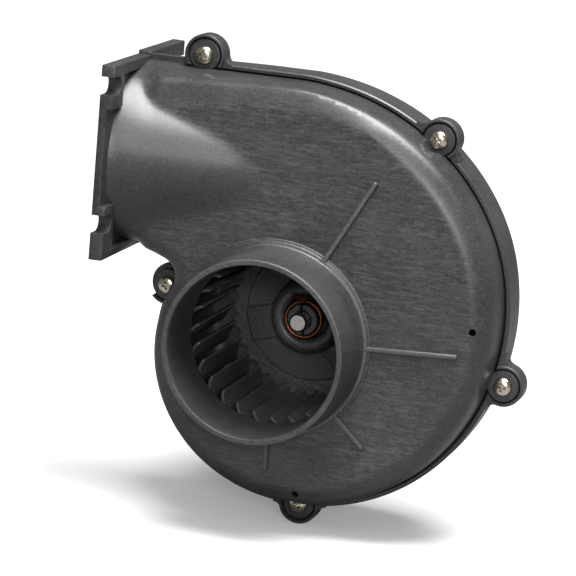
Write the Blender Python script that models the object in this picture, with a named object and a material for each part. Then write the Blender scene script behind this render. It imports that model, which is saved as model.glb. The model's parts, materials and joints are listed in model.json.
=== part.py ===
"""Centrifugal ventilation blower: scroll housing in two moulded halves, forward-curved wheel, and motor.

Run with  blender --background --python part.py  or from the text editor.
Frame: metres, +Z up.  The origin is the centre of the outlet flange's outer face, +X runs from there
into the housing, the inlet faces -Y, and the housing halves part on the plane y = 0.
The wheel and motor turn about a line along Y through (AXIS_X, AXIS_Z).
"""

from math import cos, exp, hypot, pi, radians, sin

import bmesh
import bpy
from mathutils import Matrix, Vector

MM = 0.001

# Where the wheel's axis lies, measured from the duct's axis.
AXIS_X = 75 * MM
AXIS_Z = -67 * MM

# Housing.
WALL = 2.4 * MM
GAP = 0.3 * MM                      # between pieces that touch
FACE_Y = -24 * MM                   # flat face around the inlet
BACK_Y = 41 * MM                    # flat back that carries the motor
SEAM = 0.15 * MM                    # each half stops this far from y = 0
DUCT_R = 38.4 * MM                  # outside of the round outlet duct
CONE_START_X = 3 * MM               # the duct then narrows as a cone that sinks into the face
CONE_SLOPE = 0.2476
CONE_END_X = 66 * MM
COLLAR_R = 38.1 * MM                # 76.2 mm hose collar
COLLAR_BORE = 35.6 * MM
COLLAR_LENGTH = 29 * MM
COLLAR_ROOT_R = 42 * MM

# Outline of the front cover on the parting plane: its distance from the wheel's axis every 30 degrees,
# from just before the tongue (-210) round the bottom and right to the top (90).
SCROLL_STEP = 30
SCROLL_FIRST = -210
SCROLL_RADII = [r * MM for r in (48.8, 53.1, 58.5, 64.2, 69.8, 75.8, 82.9, 90.6, 98.2, 102.6, 105.2)]
SCROLL_START = -186
TONGUE = [(27.2 * MM, -52.0 * MM), (27.6 * MM, -46.8 * MM), (25.4 * MM, -43.4 * MM), (21.2 * MM, -41.4 * MM),
          (16.4 * MM, -39.8 * MM)]
DUCT_TOP = 38.2 * MM
DUCT_BOTTOM = -38.4 * MM

# Section of the cover's shoulder: how far in from the outline, and how far in front of y = 0.
SHOULDER = [(0.0, -2 * MM), (0.6 * MM, 12 * MM), (1.5 * MM, 17.2 * MM), (2.6 * MM, 19.9 * MM),
            (4.3 * MM, 22.0 * MM), (6.8 * MM, 23.3 * MM), (9.8 * MM, 24 * MM)]
HOLLOW = [(0.0, -2 * MM), (0.6 * MM, 12 * MM), (1.6 * MM, 17.2 * MM), (3.4 * MM, 19.6 * MM),
          (5.6 * MM, 21.6 * MM)]

# Rear half.
RIM = 2.4 * MM                      # the rear half stands this far outside the cover
RIM_AT_TONGUE = 0.36 * MM
LIP_Y = -4.5 * MM                   # front edge of the rim that wraps the cover
LIP_FROM_X = 22 * MM
REAR_WALL_Y = 8 * MM
REAR_ROUND = 27 * MM
WHEEL_ROOM = 45 * MM                # radius that the flat back keeps around the wheel
MOTOR_HOLE_R = 13.2 * MM

# Ears and their screws: centres in x and z, from the wheel's axis.
EARS = [(-44.4 * MM, 110.6 * MM), (57.9 * MM, 88.0 * MM), (94.1 * MM, -9.6 * MM), (12.2 * MM, -72.5 * MM),
        (-52.6 * MM, 12.4 * MM)]
EAR_R = 8.6 * MM
EAR_RECESS_R = 7.1 * MM
EAR_PAD_R = 6.7 * MM
EAR_PAD_Y = -5 * MM
EAR_BACK_Y = 3.5 * MM
EAR_BOSS_R = 4.8 * MM
EAR_BOSS_Y = 10 * MM
POCKET_R = 4.7 * MM                 # room for the screw's head where the cover's side wall is close
SCREW_HEAD_R = 3.9 * MM
SCREW_HEAD_H = 2.6 * MM
SCREW_R = 1.9 * MM
SCREW_END_Y = 7.5 * MM

# Outlet flange.
FLANGE_T = 3.4 * MM
FLANGE_PAD_T = 5.8 * MM
FLANGE_HALF_Y = 44 * MM
FLANGE_BOTTOM = -40.4 * MM
FLANGE_TOP_FRONT = 40.2 * MM
FLANGE_TOP_REAR = 41.6 * MM
SLOT_Z = (31.6 * MM, -25.5 * MM)
SLOT_W = 7.6 * MM
SLOT_DEPTH = 9.5 * MM
PAD_Z = ((22.0 * MM, 41.6 * MM), (-40.4 * MM, -18.0 * MM))

# Ribs on the face: angle about the wheel's axis, and the radii of their ends.
RIBS = [(61.5, 38 * MM, 80.5 * MM), (3.0, 38 * MM, 78.6 * MM), (-43.2, 38 * MM, 58.4 * MM),
        (-88.0, 38 * MM, 55.2 * MM)]
RIB_W = 2.3 * MM
RIB_H = 1.6 * MM
DRAIN_HOLES = [(83.4 * MM, 14.9 * MM), (15.2 * MM, -63.7 * MM)]
DRAIN_R = 1.5 * MM

# Wheel.
BLADES = 28
BLADE_FRONT_Y = -16 * MM
PLATE_Y = (35 * MM, 37 * MM)
BLADE_IN_R = 33.8 * MM
BLADE_OUT_R = 41 * MM
BLADE_SWEEP = 11.5
BLADE_T = 1.3 * MM
SHAFT_R = 3.97 * MM
SHAFT_FRONT_Y = 13 * MM
HUB_COLLAR_R = 6.6 * MM
HUB_COLLAR_Y = 19.6 * MM
CLAMP_WIRE_R = 0.65 * MM

# Motor.
MOTOR_R = 30.2 * MM
BELL_Y = (42.8 * MM, 54 * MM)
CAN_Y = (54.3 * MM, 116 * MM)
CAP_Y = (116.3 * MM, 129 * MM)
CORE_R = 23.3 * MM
CORE_Y = (66 * MM, 100 * MM)
MAGNET_IN_R = 24.2 * MM
MAGNET_OUT_R = 27.8 * MM
COMMUTATOR_R = 9 * MM
BOLT_CIRCLE_R = 26 * MM
MOTOR_SCREW_CIRCLE_R = 21 * MM

ROUND = 48                          # segments round a large turned piece
SMALL = 20                          # segments round a small one

# Pieces cut so many times that the exact solver leaves open edges.
MANY_CUTS = ("front_housing", "rear_housing", "motor_rear_cap", "cover_hollow")


def clear_scene():
    for obj in list(bpy.data.objects):
        bpy.data.objects.remove(obj, do_unlink=True)


# ---------------------------------------------------------------- materials


def material(name, color, roughness, metallic=0.0):
    mat = bpy.data.materials.new(name)
    mat.use_nodes = True
    shader = mat.node_tree.nodes["Principled BSDF"]
    shader.inputs["Base Color"].default_value = (*color, 1.0)
    shader.inputs["Roughness"].default_value = roughness
    shader.inputs["Metallic"].default_value = metallic
    return mat


# ---------------------------------------------------------------- making objects


def make_object(name, bm, mat, location=(0, 0, 0), parent=None):
    """Turn a bmesh into a smooth-shaded object with sharp edges kept."""
    bmesh.ops.remove_doubles(bm, verts=bm.verts, dist=1e-6)
    bmesh.ops.recalc_face_normals(bm, faces=bm.faces)
    mesh = bpy.data.meshes.new(name)
    bm.to_mesh(mesh)
    bm.free()
    mesh.shade_smooth()
    mesh.set_sharp_from_angle(angle=radians(35))
    obj = bpy.data.objects.new(name, mesh)
    bpy.context.scene.collection.objects.link(obj)
    obj.location = location
    if parent:
        obj.parent = parent
    if mat:
        mesh.materials.append(mat)
    return obj


def as_tool(obj):
    obj.hide_render = True
    obj.display_type = "WIRE"
    return obj


def combine(obj, other, operation):
    """Add a Boolean with another object, which becomes a hidden tool."""
    modifier = obj.modifiers.new(f"{operation.lower()}_{other.name}"[:60], "BOOLEAN")
    modifier.operation = operation
    modifier.solver = "MANIFOLD" if obj.name in MANY_CUTS else "EXACT"
    modifier.object = as_tool(other)


def join(obj, *others):
    for other in others:
        combine(obj, other, "UNION")


def cut(obj, *others):
    for other in others:
        combine(obj, other, "DIFFERENCE")


def turned(name, profile, mat=None, segments=ROUND, at=(AXIS_X, 0, AXIS_Z), axis="Y", parent=None):
    """Turn a closed profile of (radius, position along the axis) about an axis through a point."""
    bm = bmesh.new()
    verts = [bm.verts.new((r, y, 0)) for r, y in profile]
    edges = [bm.edges.new((verts[i - 1], verts[i])) for i in range(len(verts))
             if profile[i - 1][0] > 0 or profile[i][0] > 0]
    bmesh.ops.spin(bm, geom=verts + edges, cent=(0, 0, 0), axis=(0, 1, 0), angle=2 * pi, steps=segments,
                   use_merge=True)
    if axis == "X":
        bmesh.ops.rotate(bm, verts=bm.verts, matrix=Matrix.Rotation(-pi / 2, 3, "Z"))
    return make_object(name, bm, mat, location=(0, 0, 0) if parent else at, parent=parent)


def cylinder(name, radius, y0, y1, x, z, mat=None, segments=SMALL):
    return turned(name, [(0, y0), (radius, y0), (radius, y1), (0, y1)], mat, segments, at=(x, 0, z))


def pushed_out(bm, points, shift):
    """Make a face and extrude it."""
    face = bm.faces.new([bm.verts.new(point) for point in points])
    geom = bmesh.ops.extrude_face_region(bm, geom=[face])["geom"]
    bmesh.ops.translate(bm, vec=shift, verts=[v for v in geom if isinstance(v, bmesh.types.BMVert)])


def prism(name, outline, y0, y1, mat=None, location=(0, 0, 0), parent=None):
    """Extrude an outline of (x, z) points along Y."""
    bm = bmesh.new()
    pushed_out(bm, [(x, y0, z) for x, z in outline], (0, y1 - y0, 0))
    return make_object(name, bm, mat, location, parent)


def block(name, low, high, mat=None):
    bm = bmesh.new()
    bmesh.ops.create_cube(bm, size=1)
    size = Vector(high) - Vector(low)
    bmesh.ops.scale(bm, vec=size, verts=bm.verts)
    bmesh.ops.translate(bm, vec=(Vector(high) + Vector(low)) / 2, verts=bm.verts)
    return make_object(name, bm, mat)


def lofted(name, rings, mat=None):
    """Skin a list of closed rings of points, and cap both ends."""
    bm = bmesh.new()
    loops = [[bm.verts.new(p) for p in ring] for ring in rings]
    for near, far in zip(loops, loops[1:]):
        for i in range(len(near)):
            bm.faces.new((near[i - 1], near[i], far[i], far[i - 1]))
    bm.faces.new(loops[0])
    bm.faces.new(loops[-1])
    return make_object(name, bm, mat)


# ---------------------------------------------------------------- the scroll's outline


def smooth_step(t):
    t = min(max(t, 0.0), 1.0)
    return t * t * (3 - 2 * t)


def through(a, b, c, d, t):
    """Catmull-Rom value between b and c."""
    return 0.5 * (2 * b + (c - a) * t + (2 * a - 5 * b + 4 * c - d) * t * t + (3 * b - a - 3 * c + d) * t ** 3)


def scroll_radius(degrees):
    place = (degrees - SCROLL_FIRST) / SCROLL_STEP
    last = len(SCROLL_RADII) - 1
    i = min(int(place), last - 1)
    radii = [SCROLL_RADII[min(max(i + k, 0), last)] for k in (-1, 0, 1, 2)]
    if i == last - 1:
        radii[3] = 2 * radii[2] - radii[1] + 1.2 * MM
    return through(*radii, place - i)


def cover_outline(step=7.5):
    """Points (x, z) of the cover's edge, from the flange's top, round the scroll, to the flange's bottom."""
    start_x = 1.2 * MM
    count = int((90 - SCROLL_START) / step)
    points = [(start_x, DUCT_TOP), (24 * MM, DUCT_TOP), (48 * MM, DUCT_TOP)]
    for k in range(count + 1):
        angle = 90 + (SCROLL_START - 90) * k / count
        r = scroll_radius(angle)
        points.append((AXIS_X + r * cos(radians(angle)), AXIS_Z + r * sin(radians(angle))))
    points += TONGUE
    points += [(10 * MM, DUCT_BOTTOM), (start_x, DUCT_BOTTOM)]
    return points


def outward(points):
    """Unit outward normals of a clockwise outline."""
    normals = []
    for i in range(len(points)):
        before = points[max(i - 1, 0)]
        after = points[min(i + 1, len(points) - 1)]
        dx, dz = after[0] - before[0], after[1] - before[1]
        length = hypot(dx, dz)
        normals.append((-dz / length, dx / length))
    return normals


def offset_ring(points, normals, insets, y):
    """A ring at depth y, moved in from the outline by each point's inset."""
    return [(x - nx * d, y, z - nz * d) for (x, z), (nx, nz), d in zip(points, normals, insets)]


def grown(points, distance):
    normals = outward(points)
    return [(x + nx * distance, z + nz * distance) for (x, z), (nx, nz) in zip(points, normals)]


def rear_outline():
    """The rear half's edge: a rim outside the cover, which dies away at the tongue and under the duct."""
    points = cover_outline()
    rims = []
    for x, z in points:
        tongue = smooth_step((z + 62 * MM) / (10 * MM)) if z < 0 and x < 40 * MM else 0.0
        rims.append(RIM * (1 - tongue) + RIM_AT_TONGUE * tongue)
    normals = outward(points)
    return [(x + nx * rim, z + nz * rim) for (x, z), (nx, nz), rim in zip(points, normals, rims)]


def shoulder_scale(x, z):
    """How wide the shoulder is at a point of the outline: narrow on top, and wide where it meets the duct."""
    on_top = smooth_step(z / (30 * MM))
    narrow = 0.56 * exp(-((x - 80 * MM) / (30 * MM)) ** 2)
    wide = 0.52 * smooth_step((60 * MM - x) / (42 * MM))
    return 1 + (wide - narrow) * on_top


def front_rings(section, wall):
    """Rings of the front cover's skin, or of its hollow, from a section and a wall thickness."""
    points = cover_outline()
    normals = outward(points)
    rings = []
    for inset, depth in section:
        insets = [wall + inset * shoulder_scale(x, z) for x, z in points]
        rings.append(offset_ring(points, normals, insets, -depth))
    if wall:
        rings = [[(max(x, FLANGE_T + 0.4 * MM), y, z) for x, y, z in ring] for ring in rings]
    return rings


def rear_section(x, z):
    """Where the rear half's wall starts to round over at a point of its outline, and how wide the round is.

    The duct is nearly a half circle, the scroll has a straight wall with a big round, and where the scroll
    runs close to the wheel the round is small.
    """
    room = hypot(x - AXIS_X, z - AXIS_Z) + RIM - WHEEL_ROOM
    scroll_round = min(max(room, 7 * MM), REAR_ROUND)
    duct = smooth_step((58 * MM - x) / (46 * MM)) * smooth_step((z + 50 * MM) / (8 * MM))
    return REAR_WALL_Y * (1 - duct) + 1 * MM * duct, scroll_round * (1 - duct) + 37 * MM * duct


def rear_rings(wall):
    """Rings of the rear half's skin, moved inside by a wall thickness."""
    points = rear_outline()
    normals = outward(points)
    sections = [rear_section(x, z) for x, z in points]
    if wall:
        points = [(max(x, FLANGE_T + 0.4 * MM), z) for x, z in points]
    start = 2 * RIM if wall else 0.0
    rings = [offset_ring(points, normals, [start] * len(points), -1 * MM)]
    for k in range(6):
        angle = pi / 2 * k / 5
        ring = []
        for (x, z), (nx, nz), (wall_y, width) in zip(points, normals, sections):
            inset = wall + (width - wall) * (1 - cos(angle)) + (0.4 * MM if k == 0 and wall else 0)
            ring.append((x - nx * inset, wall_y + (BACK_Y - wall - wall_y) * sin(angle), z - nz * inset))
        rings.append(ring)
    return rings


# ---------------------------------------------------------------- housing


def duct_cone(name, wall, start_x):
    """The round duct, which tapers and sinks into the cover's face."""
    radius = DUCT_R - wall
    tip = radius - CONE_SLOPE * (CONE_END_X - CONE_START_X)
    profile = [(0, start_x), (radius, start_x), (radius, CONE_START_X), (tip, CONE_END_X), (0, CONE_END_X)]
    return turned(name, profile, segments=ROUND, at=(0, 0, 0), axis="X")


def flange_half(name, front):
    """One half of the outlet flange: a plate with thick bars at its top and bottom and pads at its slots."""
    top = FLANGE_TOP_FRONT if front else FLANGE_TOP_REAR
    sign = -1 if front else 1

    def span(a, b):
        return min(sign * a, sign * b), max(sign * a, sign * b)

    y0, y1 = span(-2 * MM, FLANGE_HALF_Y)
    plate = block(name, (0, y0, FLANGE_BOTTOM), (FLANGE_T, y1, top))
    bar = -1.5 * MM
    pad = FLANGE_HALF_Y - SLOT_DEPTH - 3.2 * MM
    thick = [("bar_top", bar, top - 4.6 * MM, top), ("bar_bottom", bar, FLANGE_BOTTOM, FLANGE_BOTTOM + 4 * MM)]
    thick += [(f"pad_{i}", pad, low, min(high, top)) for i, (low, high) in enumerate(PAD_Z)]
    for part, start, low, high in thick:
        y0, y1 = span(start, FLANGE_HALF_Y)
        join(plate, block(f"{name}_{part}", (1 * MM, y0, low), (FLANGE_PAD_T, y1, high)))
    return plate


def slot_tools(name, front):
    sign = -1 if front else 1
    tools = []
    for i, z in enumerate(SLOT_Z):
        inner = sign * (FLANGE_HALF_Y - SLOT_DEPTH)
        outer = sign * (FLANGE_HALF_Y + 2 * MM)
        round_r = SLOT_W / 2
        outline = [(outer, z + round_r), (inner + sign * round_r, z + round_r)]
        for k in range(1, 6):
            a = pi / 2 + pi * k / 6
            outline.append((inner + sign * round_r + sign * round_r * cos(a), z + round_r * sin(a)))
        outline += [(inner + sign * round_r, z - round_r), (outer, z - round_r)]
        bm = bmesh.new()
        pushed_out(bm, [(-1 * MM, y, zz) for y, zz in outline], (9 * MM, 0, 0))
        tools.append(make_object(f"{name}_slot_{i}", bm, None))
    return tools


def ear_centres():
    return [(AXIS_X + x, AXIS_Z + z) for x, z in EARS]


def front_housing(mat):
    cover = lofted("front_housing", front_rings(SHOULDER, 0.0), mat)
    join(cover, duct_cone("cover_duct", 0.0, 1 * MM))
    for i, (x, z) in enumerate(ear_centres()):
        join(cover, cylinder(f"cover_ear_{i + 1}", EAR_PAD_R, EAR_PAD_Y, 1.6 * MM, x, z, segments=24))
    join(cover, flange_half("cover_flange", front=True))
    root = [(30 * MM, FACE_Y + 1 * MM), (COLLAR_ROOT_R, FACE_Y + 1 * MM), (COLLAR_ROOT_R, FACE_Y - 0.8 * MM),
            (COLLAR_R + 0.9 * MM, FACE_Y - 2.2 * MM), (COLLAR_R + 0.3 * MM, FACE_Y - 5 * MM),
            (COLLAR_R, FACE_Y - COLLAR_LENGTH + 0.5 * MM), (COLLAR_R - 0.5 * MM, FACE_Y - COLLAR_LENGTH),
            (30 * MM, FACE_Y - COLLAR_LENGTH)]
    join(cover, turned("cover_collar", root))
    for i, (angle, r0, r1) in enumerate(RIBS):
        rib = block(f"cover_rib_{i + 1}", (r0, FACE_Y - RIB_H, -RIB_W / 2), (r1, FACE_Y + 1 * MM, RIB_W / 2))
        rib.location = (AXIS_X, 0, AXIS_Z)
        rib.rotation_euler = (0, -radians(angle), 0)
        join(cover, rib)
    hollow = lofted("cover_hollow", front_rings(HOLLOW, WALL))
    for i, (x, z) in enumerate(ear_centres()):
        cut(hollow, cylinder(f"cover_boss_{i + 1}", POCKET_R + 2 * MM, -30 * MM, 1.6 * MM, x, z, segments=24))
    cut(cover, hollow, duct_cone("cover_duct_bore", WALL, -1 * MM))
    cut(cover, cylinder("cover_collar_bore", COLLAR_BORE, FACE_Y - COLLAR_LENGTH - 1 * MM, 0, AXIS_X, AXIS_Z,
                        segments=ROUND))
    for i, (x, z) in enumerate(ear_centres()):
        cut(cover, cylinder(f"cover_pocket_{i + 1}", POCKET_R, -30 * MM, EAR_PAD_Y, x, z, segments=24))
        cut(cover, cylinder(f"cover_screw_hole_{i + 1}", SCREW_R + GAP, -9 * MM, 3 * MM, x, z, segments=12))
    for i, (x, z) in enumerate(DRAIN_HOLES):
        cut(cover, cylinder(f"cover_drain_{i + 1}", DRAIN_R, FACE_Y - 2 * MM, FACE_Y + 5 * MM,
                            AXIS_X + x, AXIS_Z + z, segments=12))
    cut(cover, *slot_tools("cover", front=True))
    cut(cover, block("cover_parting", (-10 * MM, -SEAM, -200 * MM), (220 * MM, 60 * MM, 120 * MM)))
    return cover


def rear_housing(mat):
    shell = lofted("rear_housing", rear_rings(0.0), mat)
    lip = prism("rear_lip", rear_outline(), LIP_Y, 1 * MM)
    join(shell, lip)
    for i, (x, z) in enumerate(ear_centres()):
        profile = [(0, LIP_Y - 1 * MM), (EAR_R - 0.4 * MM, LIP_Y - 1 * MM), (EAR_R, LIP_Y - 0.6 * MM),
                   (EAR_R, EAR_BACK_Y - 1 * MM), (EAR_R - 1 * MM, EAR_BACK_Y), (EAR_BOSS_R, EAR_BACK_Y),
                   (EAR_BOSS_R, EAR_BOSS_Y - 0.8 * MM), (EAR_BOSS_R - 0.8 * MM, EAR_BOSS_Y), (0, EAR_BOSS_Y)]
        join(shell, turned(f"rear_ear_{i + 1}", profile, segments=28, at=(x, 0, z)))
    join(shell, flange_half("rear_flange", front=False))
    cut(shell, block("rear_parting", (-10 * MM, -20 * MM, -60 * MM), (LIP_FROM_X, SEAM, 60 * MM)))
    cut(shell, prism("rear_cover_seat", grown(cover_outline(), 0.4 * MM), LIP_Y - 4 * MM, SEAM))
    cut(shell, lofted("rear_hollow", rear_rings(WALL)))
    bore = [(0, -1 * MM), (DUCT_R - WALL, -1 * MM), (DUCT_R - WALL, 8 * MM), (0, 8 * MM)]
    cut(shell, turned("rear_duct_bore", bore, at=(0, 0, 0), axis="X"))
    for i, (x, z) in enumerate(ear_centres()):
        cut(shell, cylinder(f"rear_ear_recess_{i + 1}", EAR_RECESS_R, LIP_Y - 4 * MM, SEAM, x, z, segments=24))
        cut(shell, cylinder(f"rear_screw_hole_{i + 1}", SCREW_R + GAP, -1 * MM, SCREW_END_Y + 1 * MM, x, z,
                            segments=12))
    cut(shell, cylinder("rear_motor_hole", MOTOR_HOLE_R, 30 * MM, 50 * MM, AXIS_X, AXIS_Z, segments=ROUND))
    for i, (x, z) in enumerate(motor_screw_centres()):
        cut(shell, turned(f"rear_motor_screw_hole_{i + 1}", countersunk_profile(GAP, 50 * MM), segments=16,
                          at=(x, 0, z)))
    cut(shell, *slot_tools("rear", front=False))
    return shell


def pan_head_screw(name, x, z, mat):
    seat = EAR_PAD_Y - GAP
    top = seat - SCREW_HEAD_H
    profile = [(0, top), (SCREW_HEAD_R * 0.55, top + 0.25 * MM), (SCREW_HEAD_R * 0.85, top + 0.85 * MM),
               (SCREW_HEAD_R, top + 1.7 * MM), (SCREW_HEAD_R, seat), (SCREW_R, seat), (SCREW_R, SCREW_END_Y),
               (0, SCREW_END_Y)]
    return turned(name, profile, mat, segments=SMALL, at=(x, 0, z))


# ---------------------------------------------------------------- wheel and shaft


def wheel_plate_outline():
    """Back plate's edge: a lobe under each blade and a scallop between blades."""
    steps = 6
    points = []
    for k in range(BLADES * steps):
        phase = (k % steps) / steps
        r = 33.4 * MM + 3.0 * MM * (0.5 + 0.5 * cos(2 * pi * phase)) ** 0.6
        a = 2 * pi * (k / (BLADES * steps)) + radians(2.0)
        points.append((r * cos(a), r * sin(a)))
    return points


def blade_outline(turn):
    """A forward-curved blade: from its inner edge out, leaning the way the wheel turns."""
    steps = 4
    centre = []
    for k in range(steps + 1):
        t = k / steps
        r = BLADE_IN_R + (BLADE_OUT_R - BLADE_IN_R) * t
        a = turn + radians(BLADE_SWEEP) * t ** 1.5
        centre.append((r * cos(a), r * sin(a)))
    left, right = [], []
    for k, (x, z) in enumerate(centre):
        x0, z0 = centre[max(k - 1, 0)]
        x1, z1 = centre[min(k + 1, steps)]
        length = hypot(x1 - x0, z1 - z0)
        half = BLADE_T / 2 * (0.6 if k in (0, steps) else 1.0)
        nx, nz = -(z1 - z0) / length * half, (x1 - x0) / length * half
        left.append((x + nx, z + nz))
        right.append((x - nx, z - nz))
    return left + right[::-1]


def blower_wheel(mat, rotor):
    front, back = PLATE_Y
    plate = prism("blower_wheel", wheel_plate_outline(), front + 0.2 * MM, back, mat, parent=rotor)
    bm = bmesh.new()
    for k in range(BLADES):
        outline = blade_outline(2 * pi * k / BLADES)
        pushed_out(bm, [(x, BLADE_FRONT_Y, z) for x, z in outline], (0, front + 1.2 * MM - BLADE_FRONT_Y, 0))
    join(plate, make_object("wheel_blades", bm, None, parent=rotor))
    ring = [(39.2 * MM, BLADE_FRONT_Y - 0.4 * MM), (41.6 * MM, BLADE_FRONT_Y - 0.4 * MM),
            (41.6 * MM, BLADE_FRONT_Y + 2.2 * MM), (39.2 * MM, BLADE_FRONT_Y + 2.2 * MM)]
    join(plate, turned("wheel_front_ring", ring, segments=56, parent=rotor))
    hub = [(0, HUB_COLLAR_Y), (HUB_COLLAR_R, HUB_COLLAR_Y), (HUB_COLLAR_R, front - 3 * MM),
           (8.9 * MM, front - 3 * MM), (9.4 * MM, 26.5 * MM), (10.5 * MM, 24.5 * MM), (12.2 * MM, 23.8 * MM),
           (14.2 * MM, 24.8 * MM), (15.8 * MM, 28 * MM), (16.5 * MM, front - 0.6 * MM), (29 * MM, front - 0.6 * MM),
           (29.6 * MM, front + 1.4 * MM), (8 * MM, back + 0.9 * MM), (0, back + 0.9 * MM)]
    join(plate, turned("wheel_hub", hub, segments=40, parent=rotor))
    for k in range(3):
        low, high = (15 * MM, front - 2.4 * MM, -7.4 * MM), (28.2 * MM, front + 0.5 * MM, 7.4 * MM)
        arm = block(f"wheel_arm_{k + 1}", low, high)
        arm.rotation_euler = (0, -radians(197 + 120 * k), 0)
        arm.parent = rotor
        join(plate, arm)
    bore = turned("wheel_bore", [(0, 0), (SHAFT_R + GAP, 0), (SHAFT_R + GAP, 60 * MM), (0, 60 * MM)],
                  segments=24, parent=rotor)
    split = block("wheel_collar_split", (-7 * MM, HUB_COLLAR_Y - 2 * MM, -0.6 * MM), (7 * MM, 30 * MM, 0.6 * MM))
    split.rotation_euler = (0, -radians(98), 0)
    split.parent = rotor
    cut(plate, bore, split)
    return plate


def hub_clamp(mat, rotor):
    """Double-turn spring clamp: the wire's ends cross over the collar's top and stand up clear of it."""
    ring_r = HUB_COLLAR_R + GAP + CLAMP_WIRE_R + 0.1 * MM
    first, last, steps = 105, 808, 46
    front_y, back_y = 20.9 * MM, 24.3 * MM
    points = [(1.3 * MM, 18.9 * MM, 11.4 * MM), (1.0 * MM, 19.7 * MM, 9.3 * MM), (0.2 * MM, 20.5 * MM, 8.1 * MM)]
    for k in range(steps + 1):
        a = radians(first + (last - first) * k / steps)
        points.append((ring_r * cos(a), front_y + (back_y - front_y) * k / steps, ring_r * sin(a)))
    points += [(-2.2 * MM, 23.7 * MM, 8.6 * MM), (-6.0 * MM, 21.2 * MM, 10.1 * MM)]
    curve = bpy.data.curves.new("hub_clamp", "CURVE")
    curve.dimensions = "3D"
    curve.bevel_depth = CLAMP_WIRE_R
    curve.bevel_resolution = 2
    curve.use_fill_caps = True
    spline = curve.splines.new("POLY")
    spline.points.add(len(points) - 1)
    for point, co in zip(spline.points, points):
        point.co = (*co, 1)
    curve.materials.append(mat)
    obj = bpy.data.objects.new("hub_clamp", curve)
    bpy.context.scene.collection.objects.link(obj)
    obj.parent = rotor
    return obj


def rotor_pieces(mats, rotor):
    blower_wheel(mats["charcoal"], rotor)
    hub_clamp(mats["copper"], rotor)
    end = CAP_Y[0] + 6 * MM
    shaft = [(0, SHAFT_FRONT_Y), (SHAFT_R - 0.7 * MM, SHAFT_FRONT_Y), (SHAFT_R, SHAFT_FRONT_Y + 0.7 * MM),
             (SHAFT_R, end), (0, end)]
    turned("motor_shaft", shaft, mats["steel"], segments=24, parent=rotor)
    core_in = SHAFT_R + GAP
    y0, y1 = CORE_Y
    turned("armature_core", [(core_in, y0), (CORE_R, y0), (CORE_R, y1), (core_in, y1)], mats["lamination"],
           segments=36, parent=rotor)
    for side, base, reach in (("front", y0 - GAP, -8 * MM), ("rear", y1 + GAP, 8 * MM)):
        profile = [(8 * MM, base), (20.5 * MM, base), (20.5 * MM, base + 0.5 * reach), (17 * MM, base + reach),
                   (11 * MM, base + reach), (8 * MM, base + 0.6 * reach)]
        turned(f"armature_winding_{side}", profile, mats["enamel"], segments=32, parent=rotor)
    turned("commutator", [(core_in, 110 * MM), (COMMUTATOR_R, 110 * MM), (COMMUTATOR_R, 120 * MM), (core_in, 120 * MM)],
           mats["copper"], segments=28, parent=rotor)
    for side, y in (("front", 56 * MM), ("rear", 120.4 * MM)):
        turned(f"thrust_washer_{side}", [(core_in, y), (7 * MM, y), (7 * MM, y + 0.8 * MM), (core_in, y + 0.8 * MM)],
               mats["nylon"], segments=SMALL, parent=rotor)


# ---------------------------------------------------------------- motor


def motor_screw_centres():
    return [(AXIS_X + MOTOR_SCREW_CIRCLE_R * cos(radians(a)), AXIS_Z + MOTOR_SCREW_CIRCLE_R * sin(radians(a)))
            for a in (30, 150, 270)]


def countersunk_profile(gap, end):
    """A flat-headed screw from inside the back wall: its head is flush with the wall's inner face."""
    face = BACK_Y - WALL + 0.1 * MM - (2 * MM if gap else 0)
    neck = BACK_Y - WALL + 1.9 * MM
    return [(0, face), (3.4 * MM + gap, face), (3.4 * MM + gap, BACK_Y - WALL + 0.5 * MM), (1.9 * MM + gap, neck),
            (1.9 * MM + gap, end), (0, end)]


def through_bolt_centres():
    return [(AXIS_X + BOLT_CIRCLE_R * cos(radians(a)), AXIS_Z + BOLT_CIRCLE_R * sin(radians(a))) for a in (0, 180)]


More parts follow.
